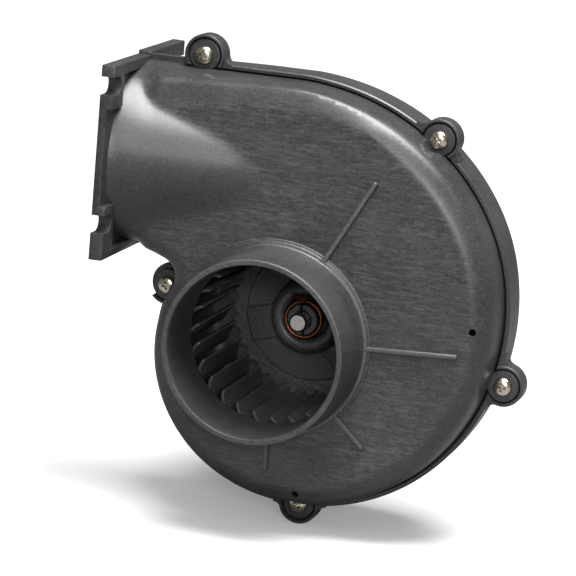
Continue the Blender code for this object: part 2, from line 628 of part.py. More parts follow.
def motor(mats):
    turned("motor_gasket", [(MOTOR_HOLE_R, BACK_Y + GAP), (MOTOR_R - 1.5 * MM, BACK_Y + GAP),
                            (MOTOR_R - 1.5 * MM, BELL_Y[0] - GAP), (MOTOR_HOLE_R, BELL_Y[0] - GAP)], mats["rubber"])
    gasket = bpy.data.objects["motor_gasket"]
    y0, y1 = BELL_Y
    bell = turned("motor_front_bell", [
        (SHAFT_R + GAP, 38.8 * MM), (12.6 * MM, 38.8 * MM), (12.8 * MM, y0), (MOTOR_R - 1.2 * MM, y0),
        (MOTOR_R, y0 + 1.2 * MM), (MOTOR_R, y1), (MOTOR_R - 3 * MM, y1), (MOTOR_R - 3 * MM, y0 + 4 * MM),
        (12.5 * MM, y0 + 4 * MM), (12.5 * MM, y1), (9.3 * MM, y1), (9.3 * MM, y0 + 2.2 * MM),
        (SHAFT_R + GAP, y0 + 2.2 * MM)], mats["cast"])
    for i, (x, z) in enumerate(motor_screw_centres()):
        cut(gasket, cylinder(f"gasket_hole_{i + 1}", 2.3 * MM, 40 * MM, 46 * MM, x, z, segments=12))
        cut(bell, cylinder(f"bell_hole_{i + 1}", 1.9 * MM + GAP, 40 * MM, 50 * MM, x, z, segments=12))
        turned(f"motor_screw_{i + 1}", countersunk_profile(0.0, 48.5 * MM), mats["nickel"], segments=16, at=(x, 0, z))
    turned("front_bearing", [(SHAFT_R + GAP, y0 + 2.5 * MM), (9 * MM, y0 + 2.5 * MM), (9 * MM, y1 - 1 * MM),
                             (SHAFT_R + GAP, y1 - 1 * MM)], mats["bronze"], segments=28)
    y0, y1 = CAN_Y
    turned("motor_can", [(MOTOR_R - 2 * MM, y0), (MOTOR_R, y0), (MOTOR_R, y1), (MOTOR_R - 2 * MM, y1)],
           mats["black_paint"])
    y0, y1 = CAP_Y
    cap = turned("motor_rear_cap", [
        (SHAFT_R + GAP + 0.6 * MM, y0 + 8.2 * MM), (9.3 * MM, y0 + 8.2 * MM), (9.3 * MM, y0 + 2 * MM),
        (12 * MM, y0 + 2 * MM), (12 * MM, y1 - 5 * MM), (MOTOR_R - 2.5 * MM, y1 - 5 * MM),
        (MOTOR_R - 2.5 * MM, y0), (MOTOR_R, y0), (MOTOR_R, y1 - 3 * MM), (MOTOR_R - 3 * MM, y1), (0, y1),
        (0, y1 - 3 * MM)], mats["black_paint"])
    turned("rear_bearing", [(SHAFT_R + GAP, y0 + 5.4 * MM), (9 * MM, y0 + 5.4 * MM), (9 * MM, y0 + 7.9 * MM),
                            (SHAFT_R + GAP, y0 + 7.9 * MM)], mats["bronze"], segments=28)
    for i, (x, z) in enumerate(through_bolt_centres()):
        head = CAP_Y[1] + GAP
        profile = [(0, 50 * MM), (1.9 * MM, 50 * MM), (1.9 * MM, head), (3.4 * MM, head), (3.4 * MM, head + 2.2 * MM),
                   (0, head + 2.6 * MM)]
        turned(f"through_bolt_{i + 1}", profile, mats["nickel"], segments=16, at=(x, 0, z))
        cut(cap, cylinder(f"cap_bolt_hole_{i + 1}", 1.9 * MM + GAP, 110 * MM, 140 * MM, x, z, segments=12))
        cut(bell, cylinder(f"bell_bolt_hole_{i + 1}", 1.9 * MM + GAP, 49.5 * MM, 60 * MM, x, z, segments=12))
    for i, middle in enumerate((90, 270)):
        magnet(f"field_magnet_{i + 1}", middle, mats["ferrite"])
    brushes(mats)
    grommet_x, grommet_z = AXIS_X, AXIS_Z - 20 * MM
    cut(cap, cylinder("cap_grommet_hole", 4.3 * MM, 110 * MM, 140 * MM, grommet_x, grommet_z, segments=SMALL))
    back = CAP_Y[1]
    turned("lead_grommet", [(1.8 * MM, back - 5.3 * MM), (4.0 * MM, back - 5.3 * MM), (4.0 * MM, back + 0.3 * MM),
                            (5.6 * MM, back + 0.3 * MM), (5.0 * MM, back + 2.4 * MM), (1.8 * MM, back + 2.8 * MM)],
           mats["rubber"], segments=SMALL, at=(grommet_x, 0, grommet_z))


def arc_band(inner, outer, middle, half_angle, steps):
    """Outline of a curved band about the motor's axis."""
    angles = [radians(middle - half_angle + 2 * half_angle * k / steps) for k in range(steps + 1)]
    return ([(outer * cos(a), outer * sin(a)) for a in angles]
            + [(inner * cos(a), inner * sin(a)) for a in reversed(angles)])


def magnet(name, middle, mat):
    return prism(name, arc_band(MAGNET_IN_R, MAGNET_OUT_R, middle, 62, 14), 62 * MM, 106 * MM, mat,
                 location=(AXIS_X, 0, AXIS_Z))


def brushes(mats):
    """Brush plate across the can's rear end, with a sliding brush and its spring on each side."""
    plate = turned("brush_plate", [(10.5 * MM, 109.2 * MM), (27.6 * MM, 109.2 * MM), (27.6 * MM, 110.6 * MM),
                                   (10.5 * MM, 110.6 * MM)], mats["phenolic"], segments=36)
    for i, (x, z) in enumerate(through_bolt_centres()):
        cut(plate, block(f"plate_bolt_notch_{i + 1}", (x - 2.4 * MM, 100 * MM, z - 2.4 * MM),
                         (x + 2.4 * MM, 115 * MM, z + 2.4 * MM)))
    for i, side in enumerate((1, -1)):
        low, high = sorted((side * (COMMUTATOR_R + GAP), side * 17 * MM))
        block(f"brush_{i + 1}", (AXIS_X - 2.5 * MM, 111 * MM, AXIS_Z + low),
              (AXIS_X + 2.5 * MM, 115.6 * MM, AXIS_Z + high), mats["carbon"])
        brush_spring(f"brush_spring_{i + 1}", side, mats["steel"])


def brush_spring(name, side, mat):
    """A short compression spring between the brush's tail and the end of its guide."""
    coils, steps = 4, 36
    start, length, radius = 17.8 * MM, 8 * MM, 1.5 * MM
    curve = bpy.data.curves.new(name, "CURVE")
    curve.dimensions = "3D"
    curve.bevel_depth = 0.25 * MM
    curve.bevel_resolution = 1
    curve.use_fill_caps = True
    spline = curve.splines.new("POLY")
    spline.points.add(steps)
    for k, point in enumerate(spline.points):
        t = k / steps
        a = 2 * pi * coils * t
        point.co = (AXIS_X + radius * cos(a), 113.3 * MM + radius * sin(a), AXIS_Z + side * (start + length * t), 1)
    curve.materials.append(mat)
    obj = bpy.data.objects.new(name, curve)
    bpy.context.scene.collection.objects.link(obj)
    return obj


def main():
    clear_scene()
    mats = {
        "charcoal": material("charcoal_plastic", (0.052, 0.051, 0.052), 0.46),
        "nickel": material("nickel_plate", (0.72, 0.68, 0.60), 0.28, 1.0),
        "steel": material("bright_steel", (0.66, 0.65, 0.63), 0.3, 1.0),
        "copper": material("copper_wire", (0.62, 0.25, 0.13), 0.38, 1.0),
        "rubber": material("black_rubber", (0.02, 0.02, 0.02), 0.8),
        "cast": material("cast_aluminium", (0.46, 0.46, 0.46), 0.55, 1.0),
        "black_paint": material("black_paint", (0.025, 0.025, 0.027), 0.4),
        "lamination": material("lamination_steel", (0.3, 0.3, 0.31), 0.5, 1.0),
        "enamel": material("enamelled_winding", (0.42, 0.16, 0.07), 0.4),
        "bronze": material("sintered_bronze", (0.48, 0.33, 0.16), 0.5, 1.0),
        "ferrite": material("ferrite", (0.06, 0.06, 0.065), 0.7),
        "carbon": material("carbon", (0.03, 0.03, 0.03), 0.6),
        "phenolic": material("phenolic_board", (0.2, 0.1, 0.045), 0.6),
        "nylon": material("nylon", (0.75, 0.73, 0.67), 0.5),
    }
    front_housing(mats["charcoal"])
    rear_housing(mats["charcoal"])
    for i, (x, z) in enumerate(ear_centres()):
        pan_head_screw(f"housing_screw_{i + 1}", x, z, mats["nickel"])
    rotor = bpy.data.objects.new("rotor_axis", None)
    rotor.location = (AXIS_X, 0, AXIS_Z)
    bpy.context.scene.collection.objects.link(rotor)
    rotor_pieces(mats, rotor)
    motor(mats)


main()
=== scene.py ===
"""Centrifugal ventilation blower: its looks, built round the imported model.

Laid out as an add-on and run as a script.  The shells, wheel, screws, spring clamp, shaft and motor
are modelled again with finer shapes and rounded edges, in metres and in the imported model's own frame,
and every visible or hidden piece gets a procedural material.
"""

import json
from math import atan2, cos, exp, hypot, pi, radians, sin, sqrt

import bmesh
import bpy
import numpy as np
from bpy.props import FloatProperty, FloatVectorProperty, IntProperty, PointerProperty
from mathutils import Euler, Matrix, Vector


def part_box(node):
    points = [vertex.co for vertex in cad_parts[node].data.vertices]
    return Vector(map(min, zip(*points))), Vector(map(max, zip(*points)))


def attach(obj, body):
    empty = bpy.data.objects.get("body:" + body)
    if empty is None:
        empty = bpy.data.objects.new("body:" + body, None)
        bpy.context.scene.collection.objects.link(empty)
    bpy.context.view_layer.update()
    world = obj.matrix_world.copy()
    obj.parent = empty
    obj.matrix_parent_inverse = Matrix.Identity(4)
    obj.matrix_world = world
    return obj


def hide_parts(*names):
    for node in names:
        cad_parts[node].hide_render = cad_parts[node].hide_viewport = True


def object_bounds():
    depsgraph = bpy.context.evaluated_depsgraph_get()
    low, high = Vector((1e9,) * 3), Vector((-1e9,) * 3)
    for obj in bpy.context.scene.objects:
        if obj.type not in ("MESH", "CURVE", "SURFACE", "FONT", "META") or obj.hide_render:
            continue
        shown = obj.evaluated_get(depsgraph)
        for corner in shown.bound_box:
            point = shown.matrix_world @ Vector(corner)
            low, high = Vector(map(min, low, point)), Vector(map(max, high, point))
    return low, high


bl_info = {
    "name": "Ventilation Blower",
    "version": (1, 0, 0),
    "blender": (4, 5, 0),
    "location": "View3D > Sidebar > Blower",
    "description": "Builds a scroll-housed centrifugal blower round its packed frame",
    "category": "Object",
}

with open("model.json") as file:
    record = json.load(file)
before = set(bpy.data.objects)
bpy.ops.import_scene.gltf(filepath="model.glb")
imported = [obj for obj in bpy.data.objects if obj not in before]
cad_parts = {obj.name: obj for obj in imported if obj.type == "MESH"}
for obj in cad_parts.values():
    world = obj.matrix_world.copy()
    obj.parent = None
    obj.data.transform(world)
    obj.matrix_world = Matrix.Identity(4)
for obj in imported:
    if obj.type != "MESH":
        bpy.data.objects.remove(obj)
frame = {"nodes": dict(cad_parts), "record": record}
CAD_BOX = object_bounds()

MM = 0.001
GAP = 0.3 * MM
HOUSING = "housing"
ROTOR = "rotor"


def mm(*points):
    return [tuple(value * MM for value in point) for point in points]


# The wheel's axis, from the shaft's box.
SHAFT_LOW, SHAFT_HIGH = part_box("motor_shaft")
AXIS_X = (SHAFT_LOW[0] + SHAFT_HIGH[0]) / 2
AXIS_Z = (SHAFT_LOW[2] + SHAFT_HIGH[2]) / 2

# Scroll: the cover's edge on the parting plane, as distances from the wheel's axis every 30 degrees.
SCROLL_STEP = 30
SCROLL_FIRST = -210
SCROLL_RADII = mm((48.8, 53.1, 58.5, 64.2, 69.8, 75.8, 82.9, 90.6, 98.2, 102.6, 105.2))[0]
SCROLL_START = -186
TONGUE = mm((24.6, -56.5), (27.2, -52.0), (27.6, -46.8), (25.4, -43.4), (21.2, -41.4), (16.4, -39.8), (10.0, -38.6))
DUCT_TOP = 38.2 * MM
DUCT_BOTTOM = -38.4 * MM
START_X = 1.2 * MM
CONE_FROM_X = 3 * MM
HOLLOW_FROM_X = 3.8 * MM

# The cover's section, as distances in from its edge and in front of the parting plane.
SHOULDER = [(0.35, 0.15), (0.0, 0.6), (0.25, 7), (0.7, 13), (1.35, 16.8), (2.3, 19.1), (3.5, 20.7), (5.0, 21.9),
            (6.8, 22.9), (8.6, 23.65), (9.8, 24.0)]
LOFTED_LEVELS = 7

# Rear shell.
BACK_Y = 41 * MM
REAR_WALL_Y = 8 * MM
REAR_ROUND = 27 * MM
WHEEL_ROOM = 45 * MM
LIP_FROM_X = 22 * MM
LIP_Y = -4.5 * MM
SEAM = 0.15 * MM

# Ears, from the wheel's axis.
EARS = mm((-44.4, 110.6), (57.9, 88.0), (94.1, -9.6), (12.2, -72.5), (-52.6, 12.4))
EAR_R = 8.6 * MM
EAR_BACK_Y = 3.5 * MM
SLOT_Z = (31.6 * MM, -25.5 * MM)
RIBS = [(61.5, 38 * MM, 80.5 * MM), (3.0, 38 * MM, 78.6 * MM), (-43.2, 38 * MM, 58.4 * MM),
        (-88.0, 38 * MM, 55.2 * MM)]
DRAIN_HOLES = mm((83.4, 14.9), (15.2, -63.7))

# Radii of the holes for the shaft and for the fixing screws, and the flange's half width.
SHAFT_HOLE = 4.27 * MM
SCREW_HOLE = 2.2 * MM
FLANGE_SIDE = 44 * MM

# The motor's fixings, as angles about its axis.
MOTOR_SCREWS = (30, 150, 270)
THROUGH_BOLTS = (0, 180)


# ---- settings


class BlowerShape(bpy.types.PropertyGroup):
    """Sizes of the blower's pieces."""

    wall: FloatProperty(name="Wall", description="Thickness of both shells", default=2.4 * MM, unit="LENGTH")
    rim: FloatProperty(name="Rim", description="How far the rear shell stands outside the cover",
                       default=2.4 * MM, unit="LENGTH")
    face_y: FloatProperty(name="Face", description="Where the cover's flat face lies", default=-24 * MM,
                          unit="LENGTH")
    duct_radius: FloatProperty(name="Duct Radius", description="Outside of the outlet duct", default=38.4 * MM,
                               unit="LENGTH")
    cone_slope: FloatProperty(name="Cone Slope", description="How fast the duct narrows into the face",
                              default=0.2476)
    collar_radius: FloatProperty(name="Collar Radius", description="Outside of the inlet collar",
                                 default=38.1 * MM, unit="LENGTH")
    collar_bore: FloatProperty(name="Collar Bore", description="Inside of the inlet collar",
                               default=35.6 * MM, unit="LENGTH")
    collar_length: FloatProperty(name="Collar Length", description="How far the inlet collar stands out",
                                 default=29 * MM, unit="LENGTH")
    grid: FloatProperty(name="Face Grid", description="Spacing of the mesh on the cover's face",
                        default=1.6 * MM, unit="LENGTH")
    blades: IntProperty(name="Blades", description="Number of blades on the wheel", default=28, min=6)
    round: IntProperty(name="Segments", description="Segments round a large turned piece", default=112, min=24)


class BlowerFinish(bpy.types.PropertyGroup):
    """Colours of the blower's finishes."""

    housing: FloatVectorProperty(name="Housing", description="Moulded housing plastic", subtype="COLOR",
                                 default=(0.0250, 0.0244, 0.0250), min=0, max=1)
    wheel: FloatVectorProperty(name="Wheel", description="Moulded wheel plastic", subtype="COLOR",
                               default=(0.054, 0.0533, 0.0545), min=0, max=1)
    # This pale colour serves both the rubbed streaks and the painted highlight along the collar's mouth and the ribs'
    # tops.
    scuff: FloatVectorProperty(name="Scuffs", description="Plastic that has been rubbed pale", subtype="COLOR",
                               default=(0.125, 0.122, 0.122), min=0, max=1)
    nickel: FloatVectorProperty(name="Screws", description="Warm plated screws", subtype="COLOR",
                                default=(0.62, 0.57, 0.47), min=0, max=1)
    copper: FloatVectorProperty(name="Clamp", description="Copper-coloured clamp wire", subtype="COLOR",
                                default=(0.40, 0.12, 0.07), min=0, max=1)
    steel: FloatVectorProperty(name="Steel", description="Bright shaft steel", subtype="COLOR",
                               default=(0.50, 0.49, 0.48), min=0, max=1)
    floor: FloatVectorProperty(name="Floor", description="Pale floor", subtype="COLOR",
                               default=(0.62, 0.62, 0.62), min=0, max=1)


def shape():
    return bpy.context.scene.blower_shape


def finish():
    return bpy.context.scene.blower_finish


# ---- mesh helpers


def mesh_object(name, bm, sharp=38):
    """Turn a bmesh into an object with smooth faces and crisp edges."""
    bmesh.ops.remove_doubles(bm, verts=bm.verts, dist=1e-6)
    bmesh.ops.recalc_face_normals(bm, faces=bm.faces)
    mesh = bpy.data.meshes.new(name)
    bm.to_mesh(mesh)
    bm.free()
    obj = bpy.data.objects.new(name, mesh)
    bpy.context.scene.collection.objects.link(obj)
    crisp(obj, sharp)
    return obj


def crisp(obj, degrees):
    obj.data.shade_smooth()
    obj.data.set_sharp_from_angle(angle=radians(degrees))


def verts_of(geom):
    return [v for v in geom if isinstance(v, bmesh.types.BMVert)]


def ring_edges(bm, points):
    verts = [bm.verts.new(p) for p in points]
    return verts, [bm.edges.new((verts[i - 1], verts[i])) for i in range(len(verts))]


def grow_ring(bm, verts, edges, points):
    """Extrude a ring of edges and put its new vertices at the given points."""
    order = {vert: i for i, vert in enumerate(verts)}
    geom = bmesh.ops.extrude_edge_only(bm, edges=edges)["geom"]
    grown = [None] * len(verts)
    for vert in verts_of(geom):
        i = next(order[e.other_vert(vert)] for e in vert.link_edges if e.other_vert(vert) in order)
        vert.co = points[i]
        grown[i] = vert
    return grown, [e for e in geom if isinstance(e, bmesh.types.BMEdge)]


def lofted(bm, rings):
    """Skin a list of closed rings, cap both ends, and return the last cap."""
    verts, edges = ring_edges(bm, rings[0])
    bmesh.ops.contextual_create(bm, geom=edges)
    for points in rings[1:]:
        verts, edges = grow_ring(bm, verts, edges, points)
    return bmesh.ops.contextual_create(bm, geom=edges)["faces"]


def turned(name, profile, segments=None, at=None, axis="Y", sharp=38):
    """Turn a closed profile of (radius, place along the axis)."""
    bm = bmesh.new()
    verts = [bm.verts.new((r, y, 0)) for r, y in profile]
    edges = [bm.edges.new((verts[i - 1], verts[i])) for i in range(len(verts))
             if profile[i - 1][0] > 0 or profile[i][0] > 0]
    bmesh.ops.spin(bm, geom=verts + edges, cent=(0, 0, 0), axis=(0, 1, 0), angle=2 * pi,
                   steps=segments or shape().round, use_merge=True)
    if axis == "X":
        bmesh.ops.rotate(bm, verts=bm.verts, matrix=Matrix.Rotation(-pi / 2, 3, "Z"))
    bmesh.ops.translate(bm, verts=bm.verts, vec=(AXIS_X, 0, AXIS_Z) if at is None else at)
    return mesh_object(name, bm, sharp)


def rounded(profile, radius, steps=3):
    """Round a closed profile's corners by one radius, or by a point's third value."""
    out = []
    for i, point in enumerate(profile):
        here = Vector(point[:2])
        before, after = Vector(profile[i - 1][:2]), Vector(profile[(i + 1) % len(profile)][:2])
        r = point[2] if len(point) > 2 else radius
        to_before, to_after = before - here, after - here
        r = min(r, to_before.length * 0.45, to_after.length * 0.45)
        if r <= 1e-7 or here.x <= 1e-7:
            out.append((here.x, here.y))
            continue
        a, b = here + to_before.normalized() * r, here + to_after.normalized() * r
        for k in range(steps + 1):
            t = k / steps
            p = a * (1 - t) ** 2 + here * 2 * t * (1 - t) + b * t ** 2
            out.append((p.x, p.y))
    return out


def pin(name, radius, y0, y1, x, z, segments=32, edge=0.0):
    profile = [(0, y0), (radius, y0), (radius, y1), (0, y1)]
    return turned(name, rounded(profile, edge) if edge else profile, segments, at=(x, 0, z))


def bevelled(bm, edges, offset, segments):
    bmesh.ops.bevel(bm, geom=edges, offset=offset, segments=segments, profile=0.5, material=-1, affect="EDGES")


def block(name, low, high, edge=0.0, steps=2, turn=None):
    """A box with rounded edges, turned about the wheel's axis where a turn is given."""
    bm = bmesh.new()
    bmesh.ops.create_cube(bm, size=1)
    bmesh.ops.scale(bm, vec=Vector(high) - Vector(low), verts=bm.verts)
    bmesh.ops.translate(bm, vec=(Vector(high) + Vector(low)) / 2, verts=bm.verts)
    if edge:
        bevelled(bm, bm.edges, edge, steps)
    if turn is not None:
        bmesh.ops.rotate(bm, verts=bm.verts, cent=(0, 0, 0), matrix=Matrix.Rotation(-radians(turn), 3, "Y"))
        bmesh.ops.translate(bm, vec=(AXIS_X, 0, AXIS_Z), verts=bm.verts)
    return mesh_object(name, bm)


def pushed_face(bm, points, vec):
    """Fill a ring of points and extrude the face."""
    _, edges = ring_edges(bm, points)
    face = bmesh.ops.contextual_create(bm, geom=edges)["faces"]
    pushed = bmesh.ops.extrude_face_region(bm, geom=face)["geom"]
    bmesh.ops.translate(bm, vec=vec, verts=verts_of(pushed))


def prism_along_y(name, outline, y0, y1, edge=0.0, at=(0, 0, 0)):
    bm = bmesh.new()
    pushed_face(bm, [(x + at[0], y0, z + at[2]) for x, z in outline], (0, y1 - y0, 0))
    if edge:
        rims = [e for e in bm.edges if abs(e.verts[0].co.y - e.verts[1].co.y) < 1e-7]
        bevelled(bm, rims, edge, 2)
    return mesh_object(name, bm)


def combined(obj, added=(), removed=(), sharp=38):
    """Union and subtract other objects, keep the result as this object's mesh, and delete the others."""
    others = list(added) + list(removed)
    for other in others:
        step = obj.modifiers.new(other.name[:50], "BOOLEAN")
        step.operation = "UNION" if other in added else "DIFFERENCE"
        step.solver = "MANIFOLD"
        step.object = other
    graph = bpy.context.evaluated_depsgraph_get()
    result = bpy.data.meshes.new_from_object(obj.evaluated_get(graph))
    result.name = obj.name
    obj.modifiers.clear()
    obj.data = result
    for other in others:
        bpy.data.objects.remove(other, do_unlink=True)
    crisp(obj, sharp)
    return obj


def dress(obj, body, slot, *nodes, second=None):
    """Give a finished piece its materials, put it on its body's empty, and hide the CAD nodes it stands for."""
    obj.data.materials.clear()
    for name in filter(None, (slot, second)):
        obj.data.materials.append(finishes()[name])
    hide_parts(*nodes)
    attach(obj, body)


# ---- the scroll's outline


def smooth_step(t):
    t = min(max(t, 0.0), 1.0)
    return t * t * (3 - 2 * t)


def through(a, b, c, d, t):
    """Catmull-Rom value between b and c."""
    return 0.5 * (2 * b + (c - a) * t + (2 * a - 5 * b + 4 * c - d) * t * t + (3 * b - a - 3 * c + d) * t ** 3)


def scroll_radius(degrees):
    place = (degrees - SCROLL_FIRST) / SCROLL_STEP
    last = len(SCROLL_RADII) - 1
    i = min(int(place), last - 1)
    radii = [SCROLL_RADII[min(max(i + k, 0), last)] for k in (-1, 0, 1, 2)]
    if i == last - 1:
        radii[3] = 2 * radii[2] - radii[1] + 1.2 * MM
    return through(*radii, place - i)


def cover_outline(step=2.0):
    """Points (x, z) of the cover's edge, from the flange's top, round the scroll, to the flange's bottom."""
    count = int((90 - SCROLL_START) / step)
    points = [(START_X + (AXIS_X - START_X) * k / 24, DUCT_TOP) for k in range(24)]
    for k in range(count + 1):
        angle = 90 + (SCROLL_START - 90) * k / count
        r = scroll_radius(angle)
        points.append((AXIS_X + r * cos(radians(angle)), AXIS_Z + r * sin(radians(angle))))
    bend = [points[-2], points[-1]] + TONGUE + [(5 * MM, DUCT_BOTTOM), (START_X, DUCT_BOTTOM)]
    pieces = max(2, round(8 / step))
    for i in range(1, len(bend) - 2):
        for k in range(1, pieces + 1):
            t = k / pieces
            points.append(tuple(through(*(bend[i + j][axis] for j in (-1, 0, 1, 2)), t) for axis in (0, 1)))
    points.append((START_X, DUCT_BOTTOM))
    return points


def outward(points):
    normals = []
    for i in range(len(points)):
        before, after = points[max(i - 1, 0)], points[min(i + 1, len(points) - 1)]
        dx, dz = after[0] - before[0], after[1] - before[1]
        length = hypot(dx, dz)
        normals.append((-dz / length, dx / length))
    return normals


def grown(points, distance):
    return [(x + nx * distance, z + nz * distance) for (x, z), (nx, nz) in zip(points, outward(points))]


def rim_at(x, z):
    """The rear shell's rim dies away at the tongue and under the duct."""
    tongue = smooth_step((z + 62 * MM) / (10 * MM)) if z < 0 and x < 40 * MM else 0.0
    return shape().rim * (1 - tongue) + 0.36 * MM * tongue


def rear_outline(step=2.0, inside=0.0):
    points = cover_outline(step)
    return [(x + nx * (rim_at(x, z) - inside), z + nz * (rim_at(x, z) - inside))
            for (x, z), (nx, nz) in zip(points, outward(points))]


def depth_at(inset):
    """How far in front of the parting plane the plain shoulder stands, at a distance in from its edge."""
    insets, depths = zip(*mm(*SHOULDER[1:]))
    if inset >= insets[-1]:
        return depths[-1]
    i = max(k for k in range(len(insets) - 1) if insets[k] <= max(inset, 0.0))
    t = (inset - insets[i]) / (insets[i + 1] - insets[i])
    return through(*(depths[min(max(i + k, 0), len(depths) - 1)] for k in (-1, 0, 1, 2)), t)


def width_at(x, z):
    """How wide the shoulder is: narrow on top, and wide where it meets the duct."""
    narrow = 0.56 * exp(-((x - 80 * MM) / (30 * MM)) ** 2)
    wide = 0.52 * smooth_step((60 * MM - x) / (42 * MM))
    return 1 + (wide - narrow) * smooth_step(z / (30 * MM))


def plain_depth(x, z, inset):
    """The shoulder's depth at a place, with its inner part drawn out towards the duct."""
    width = width_at(x, z)
    inner, full = SHOULDER[LOFTED_LEVELS - 1][0] * MM, SHOULDER[-1][0] * MM
    if inset <= inner * width:
        return depth_at(inset / width)
    drawn_out = (9 * MM + 8.4 * MM * smooth_step((74 * MM - x) / (55 * MM))) * smooth_step(z / (30 * MM))
    end = max(full * width, drawn_out)
    return depth_at(inner + (inset - inner * width) * (full - inner) / (end - inner * width))


def cone_depth(x, z, wall=0.0):
    radius = shape().duct_radius - wall - shape().cone_slope * max(x - CONE_FROM_X, 0.0)
    flat = 1 + 0.1 * smooth_step((x - CONE_FROM_X) / (15 * MM)) if z > 0 and not wall else 1.0
    return sqrt(max(radius * radius - z * z * flat * flat, 0.0))


def duct_share(x):
    """One at the flange, where the cover is a half circle, and zero where its own shoulder takes over."""
    return smooth_step((17 * MM - x) / (15 * MM))


def soft_max(a, b, width):
    mix = max(width - abs(a - b), 0.0) / width
    return max(a, b) + mix * mix * width * 0.25


def face_depth(x, z, plain):
    share = duct_share(x) if z > -45 * MM else 0.0
    round_depth = cone_depth(x, z)
    depth = plain * (1 - share) + round_depth * share
    return soft_max(depth, round_depth, (0.7 + 4.3 * smooth_step((15 * MM - z) / (30 * MM))) * MM)


def cover_skin():
    """The cover's outside: rings up its wall and over its shoulder, then a grid across its face."""
    points = cover_outline()
    normals = outward(points)
    rings = []
    for inset, depth in SHOULDER[:LOFTED_LEVELS]:
        ring = []
        for (x, z), (nx, nz) in zip(points, normals):
            d = inset * MM * width_at(x, z)
            px, pz = x - nx * d, z - nz * d
            level = face_depth(px, pz, plain_depth(px, pz, d)) if depth > 1 else depth * MM
            ring.append((px, -level, pz))
        rings.append(ring)
    bm = bmesh.new()
    cap = lofted(bm, rings)
    boundary = {v for f in cap for v in f.verts}
    for vert in boundary:
        vert.co.y = shape().face_y
    cap[0].material_index = 1
    low = Vector((min(v.co.x for v in boundary), 0, min(v.co.z for v in boundary)))
    high = Vector((max(v.co.x for v in boundary), 0, max(v.co.z for v in boundary)))
    for axis in (0, 2):
        place = low[axis] + shape().grid
        while place < high[axis] - 0.3 * shape().grid:
            faces = [f for f in bm.faces if f.material_index == 1]
            edges = {e for f in faces for e in f.edges}
            verts = {v for f in faces for v in f.verts}
            normal = Vector((axis == 0, 0, axis == 2))
            bmesh.ops.bisect_plane(bm, geom=faces + list(edges) + list(verts), dist=1e-7, plane_co=normal * place,
                                   plane_no=normal)
            place += shape().grid
    verts = list({v for f in bm.faces if f.material_index == 1 for v in f.verts})
    insets = distances_to(points, [(v.co.x, v.co.z) for v in verts])
    for vert, inset in zip(verts, insets):
        x, z = vert.co.x, vert.co.z
        vert.co.y = -face_depth(x, z, plain_depth(x, z, inset))
    for face in bm.faces:
        face.material_index = 0
    return mesh_object("front_housing_shell", bm, sharp=40)


def distances_to(line, places):
    """Distance from each place to an open line of points."""
    a = np.array(line[:-1])
    b = np.array(line[1:])
    p = np.array(places)
    along = b - a
    length2 = np.maximum((along ** 2).sum(axis=1), 1e-14)
    t = ((p[:, None, :] - a[None]) * along[None]).sum(axis=2) / length2
    near = a[None] + np.clip(t, 0, 1)[:, :, None] * along[None]
    return np.sqrt(((p[:, None, :] - near) ** 2).sum(axis=2)).min(axis=1)


def cover_hollow():
    """The space inside the cover."""
    wall = shape().wall
    points = cover_outline(5.0)
    normals = outward(points)
    rings = []
    for inset, depth in ((0, -1.5), (0.6, 12), (1.6, 17.4), (3.4, 19.6), (5.5, 21.6)):
        ring = []
        for (x, z), (nx, nz) in zip(points, normals):
            d = wall + inset * MM * width_at(x, z)
            plain = depth * MM
            px, pz = x - nx * d, z - nz * d
            share = duct_share(px) if pz > -45 * MM and depth > 0 else 0.0
            level = plain * (1 - share) + min(cone_depth(px, pz, wall), plain) * share
            ring.append((max(px, HOLLOW_FROM_X), -level if depth < 21 else -21.6 * MM, pz))
        rings.append(ring)
    bm = bmesh.new()
    lofted(bm, rings)
    return mesh_object("cover_hollow", bm)


def duct_bore(name, *profile):
    """A tool turned about the duct's axis, from (place along it, radius) pairs."""
    first, last = profile[0][0], profile[-1][0]
    points = [(0, first)] + [(radius, x) for x, radius in profile] + [(0, last)]
    return turned(name, points, at=(0, 0, 0), axis="X")


def ear_places():
    return [(AXIS_X + x, AXIS_Z + z) for x, z in EARS]


def places_round(radius, angles):
    return [(AXIS_X + radius * cos(radians(a)), AXIS_Z + radius * sin(radians(a))) for a in angles]


def flange_half(front):
    """Plate, thick bars and slot pads of one half of the flange."""
    low_z, high_z = -40.4 * MM, (40.2 if front else 41.6) * MM
    sign = -1 if front else 1
    prefix = "front_flange" if front else "rear_flange"
    seam, bar, pad = SEAM, SEAM + 0.1 * MM, FLANGE_SIDE - 12.7 * MM
    pieces = []
    for name, inner, x0, x1, low, high, edge in (
            ("", seam, 0, 3.4, low_z, high_z, 0.5), ("_top", bar, 1, 5.8, high_z - 4.6 * MM, high_z, 0.6),
            ("_bottom", bar, 1, 5.8, low_z, low_z + 4 * MM, 0.6), ("_pad_0", pad, 1, 5.8, 22.0 * MM, high_z, 0.6),
            ("_pad_1", pad, 1, 5.8, low_z, -18.0 * MM, 0.6)):
        y0, y1 = sorted((sign * inner, sign * FLANGE_SIDE))
        pieces.append(block(prefix + name, (x0 * MM, y0, low), (x1 * MM, y1, high), edge=edge * MM))
    return pieces, slot_tools(prefix, sign)


def slot_tools(prefix, sign):
    tools = []
    for i, z in enumerate(SLOT_Z):
        inner, outer, r = sign * 34.5 * MM, sign * 47 * MM, 3.8 * MM
        outline = [(outer, z + r), (inner + sign * r, z + r)]
        outline += [(inner + sign * r * (1 + cos(pi / 2 + pi * k / 12)), z + r * sin(pi / 2 + pi * k / 12))
                    for k in range(1, 12)]
        outline += [(inner + sign * r, z - r), (outer, z - r)]
        bm = bmesh.new()
        pushed_face(bm, [(-1 * MM, y, zz) for y, zz in outline], (9 * MM, 0, 0))
        tools.append(mesh_object(f"{prefix}_slot_{i}", bm))
    return tools


